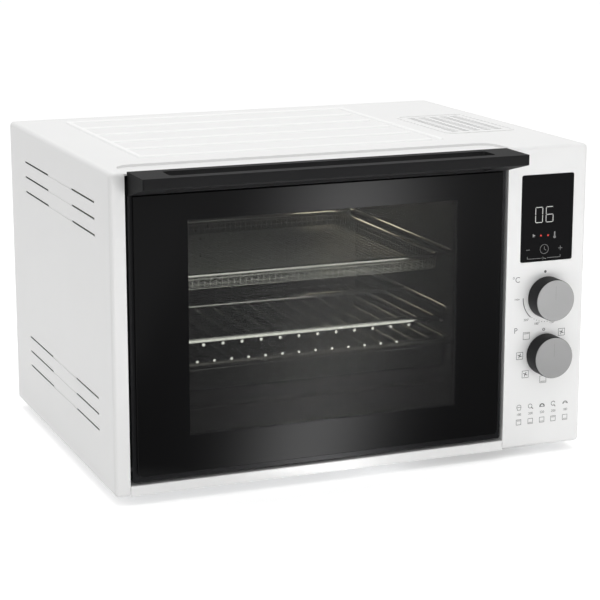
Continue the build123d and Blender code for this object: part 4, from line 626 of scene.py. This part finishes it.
floor_data = bpy.data.meshes.new("floor")
floor_data.from_pydata([(-9, -9, 0), (9, -9, 0), (9, 9, 0), (-9, 9, 0)], [], [(0, 1, 2, 3)])
floor = bpy.data.objects.new("floor", floor_data)
bpy.context.scene.collection.objects.link(floor)
floor_material, tree, shader = new_material("floor_white", (0.9, 0.9, 0.9), 0.9, Specular_IOR_Level=0.0)
shader.inputs["Emission Color"].default_value = (1, 1, 1, 1)
tree.links.new(spread(tree, seen_directly(tree), 0.0, FLOOR_LIFT), shader.inputs["Emission Strength"])
floor_data.materials.append(floor_material)

world = bpy.data.worlds.new("studio")
bpy.context.scene.world = world
world.use_nodes = True
tree = world.node_tree
tree.nodes["Background"].inputs["Color"].default_value = (1, 1, 1, 1)
# The light from behind and from the right is weaker, which draws the far edges
facing = tree.nodes.new("ShaderNodeVectorMath")
facing.operation = "DOT_PRODUCT"
facing.inputs[1].default_value = (0.6, 0.8, 0)
tree.links.new(tree.nodes.new("ShaderNodeTexCoord").outputs["Generated"], facing.inputs[0])
behind = spread(tree, facing.outputs["Value"], WORLD_LEVEL, WORLD_LEVEL * REAR_SHARE, 0.2, 0.9)
strength = math_node(tree, "MAXIMUM", behind, seen_directly(tree))
tree.links.new(strength, tree.nodes["Background"].inputs["Strength"])


def area(name, place, aim, width, height, energy, mirror_only=False):
    """Rectangular lamp at a place, facing a point; mirror_only lamps show only in reflections."""
    data = bpy.data.lights.new(name, "AREA")
    data.shape = "RECTANGLE"
    data.size = width
    data.size_y = height
    data.energy = energy
    made = bpy.data.objects.new(name, data)
    made.location = place
    made.rotation_mode = "QUATERNION"
    made.rotation_quaternion = (Vector(aim) - Vector(place)).to_track_quat("-Z", "Y")
    bpy.context.scene.collection.objects.link(made)
    made.visible_camera = False
    made.visible_diffuse = not mirror_only
    return made


area("top_box", (0.05, 0.0, 2.3), (0, 0, 0.2), 2.0, 2.0, TOP_POWER)
front_box = area("front_box", (0.2, -0.82, 0.06), (0.1, -0.2, 0.05), 0.9, 0.1, FRONT_POWER)
front_box.visible_glossy = False

# Long glow on the floor, seen in the door glass as one soft upright highlight
along = GLOW_FAR - GLOW_NEAR
reach = along.length
glow_data = bpy.data.meshes.new("floor_glow")
glow_corners = ((-0.25, -0.1), (0.25, -0.1), (0.25, 1.2), (-0.25, 1.2))
glow_data.from_pydata([(x, y * reach, 0) for x, y in glow_corners], [], [(0, 1, 2, 3)])
floor_glow = bpy.data.objects.new("floor_glow", glow_data)
floor_glow.location = (*GLOW_NEAR, 0.004)
floor_glow.rotation_euler.z = math.atan2(-along.x, along.y)
bpy.context.scene.collection.objects.link(floor_glow)
glow_material, tree, shader = new_material("glow_white", (0, 0, 0), 1.0, Specular_IOR_Level=0.0)
axes = object_axes(tree)


def from_near_to_far(values):
    """Value that changes evenly along the glow."""
    slope = (values[1] - values[0]) / reach
    return math_node(tree, "MULTIPLY_ADD", axes["Y"], slope, values[0])


share = math_node(tree, "DIVIDE", axes["X"], from_near_to_far(GLOW_WIDTHS))
squared = math_node(tree, "MULTIPLY", share, share)
fall = math_node(tree, "EXPONENT", math_node(tree, "MULTIPLY", squared, -1))
shader.inputs["Emission Color"].default_value = (1, 1, 1, 1)
strength = math_node(tree, "MULTIPLY", fall, from_near_to_far(GLOW_STRENGTHS))
tree.links.new(strength, shader.inputs["Emission Strength"])
glow_data.materials.append(glow_material)
floor_glow.visible_camera = False
floor_glow.visible_diffuse = False
floor_glow.visible_transmission = False
floor_glow.visible_shadow = False

# Lamp of the cavity, in front of its cover
bulb_low, bulb_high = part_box("lamp_bulb")
cover_low, cover_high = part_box("lamp_cover")
lamp_place = (bulb_low + bulb_high) / 2
lamp_place.y = cover_low.y - 12 * MM
lamp = bpy.data.lights.new("cavity_light", "POINT")
lamp.energy = CAVITY_POWER
lamp.color = (1.0, 0.9, 0.74)
lamp.shadow_soft_size = 0.03
lamp_object = bpy.data.objects.new("cavity_light", lamp)
lamp_object.location = lamp_place
bpy.context.scene.collection.objects.link(lamp_object)
# Glints along the front rods of the basket and the rack
for name, z, share in (("basket_glint", 0.207, 0.85), ("rack_glint", 0.141, 1.0)):
    area(name, (-0.055, -0.157, z), (-0.055, 0, z), 0.29, 0.05, GLINT_POWER * share, mirror_only=True)

camera = bpy.data.cameras.new("camera")
camera.sensor_width = 36
camera.lens = LENS
view = bpy.data.objects.new("camera", camera)
view.location = CAMERA_PLACE
view.rotation_euler = (math.radians(90 - CAMERA_DOWN), 0, math.radians(CAMERA_TURN))
bpy.context.scene.collection.objects.link(view)
bpy.context.scene.camera = view

settings = bpy.context.scene.view_settings
settings.view_transform = "Standard"
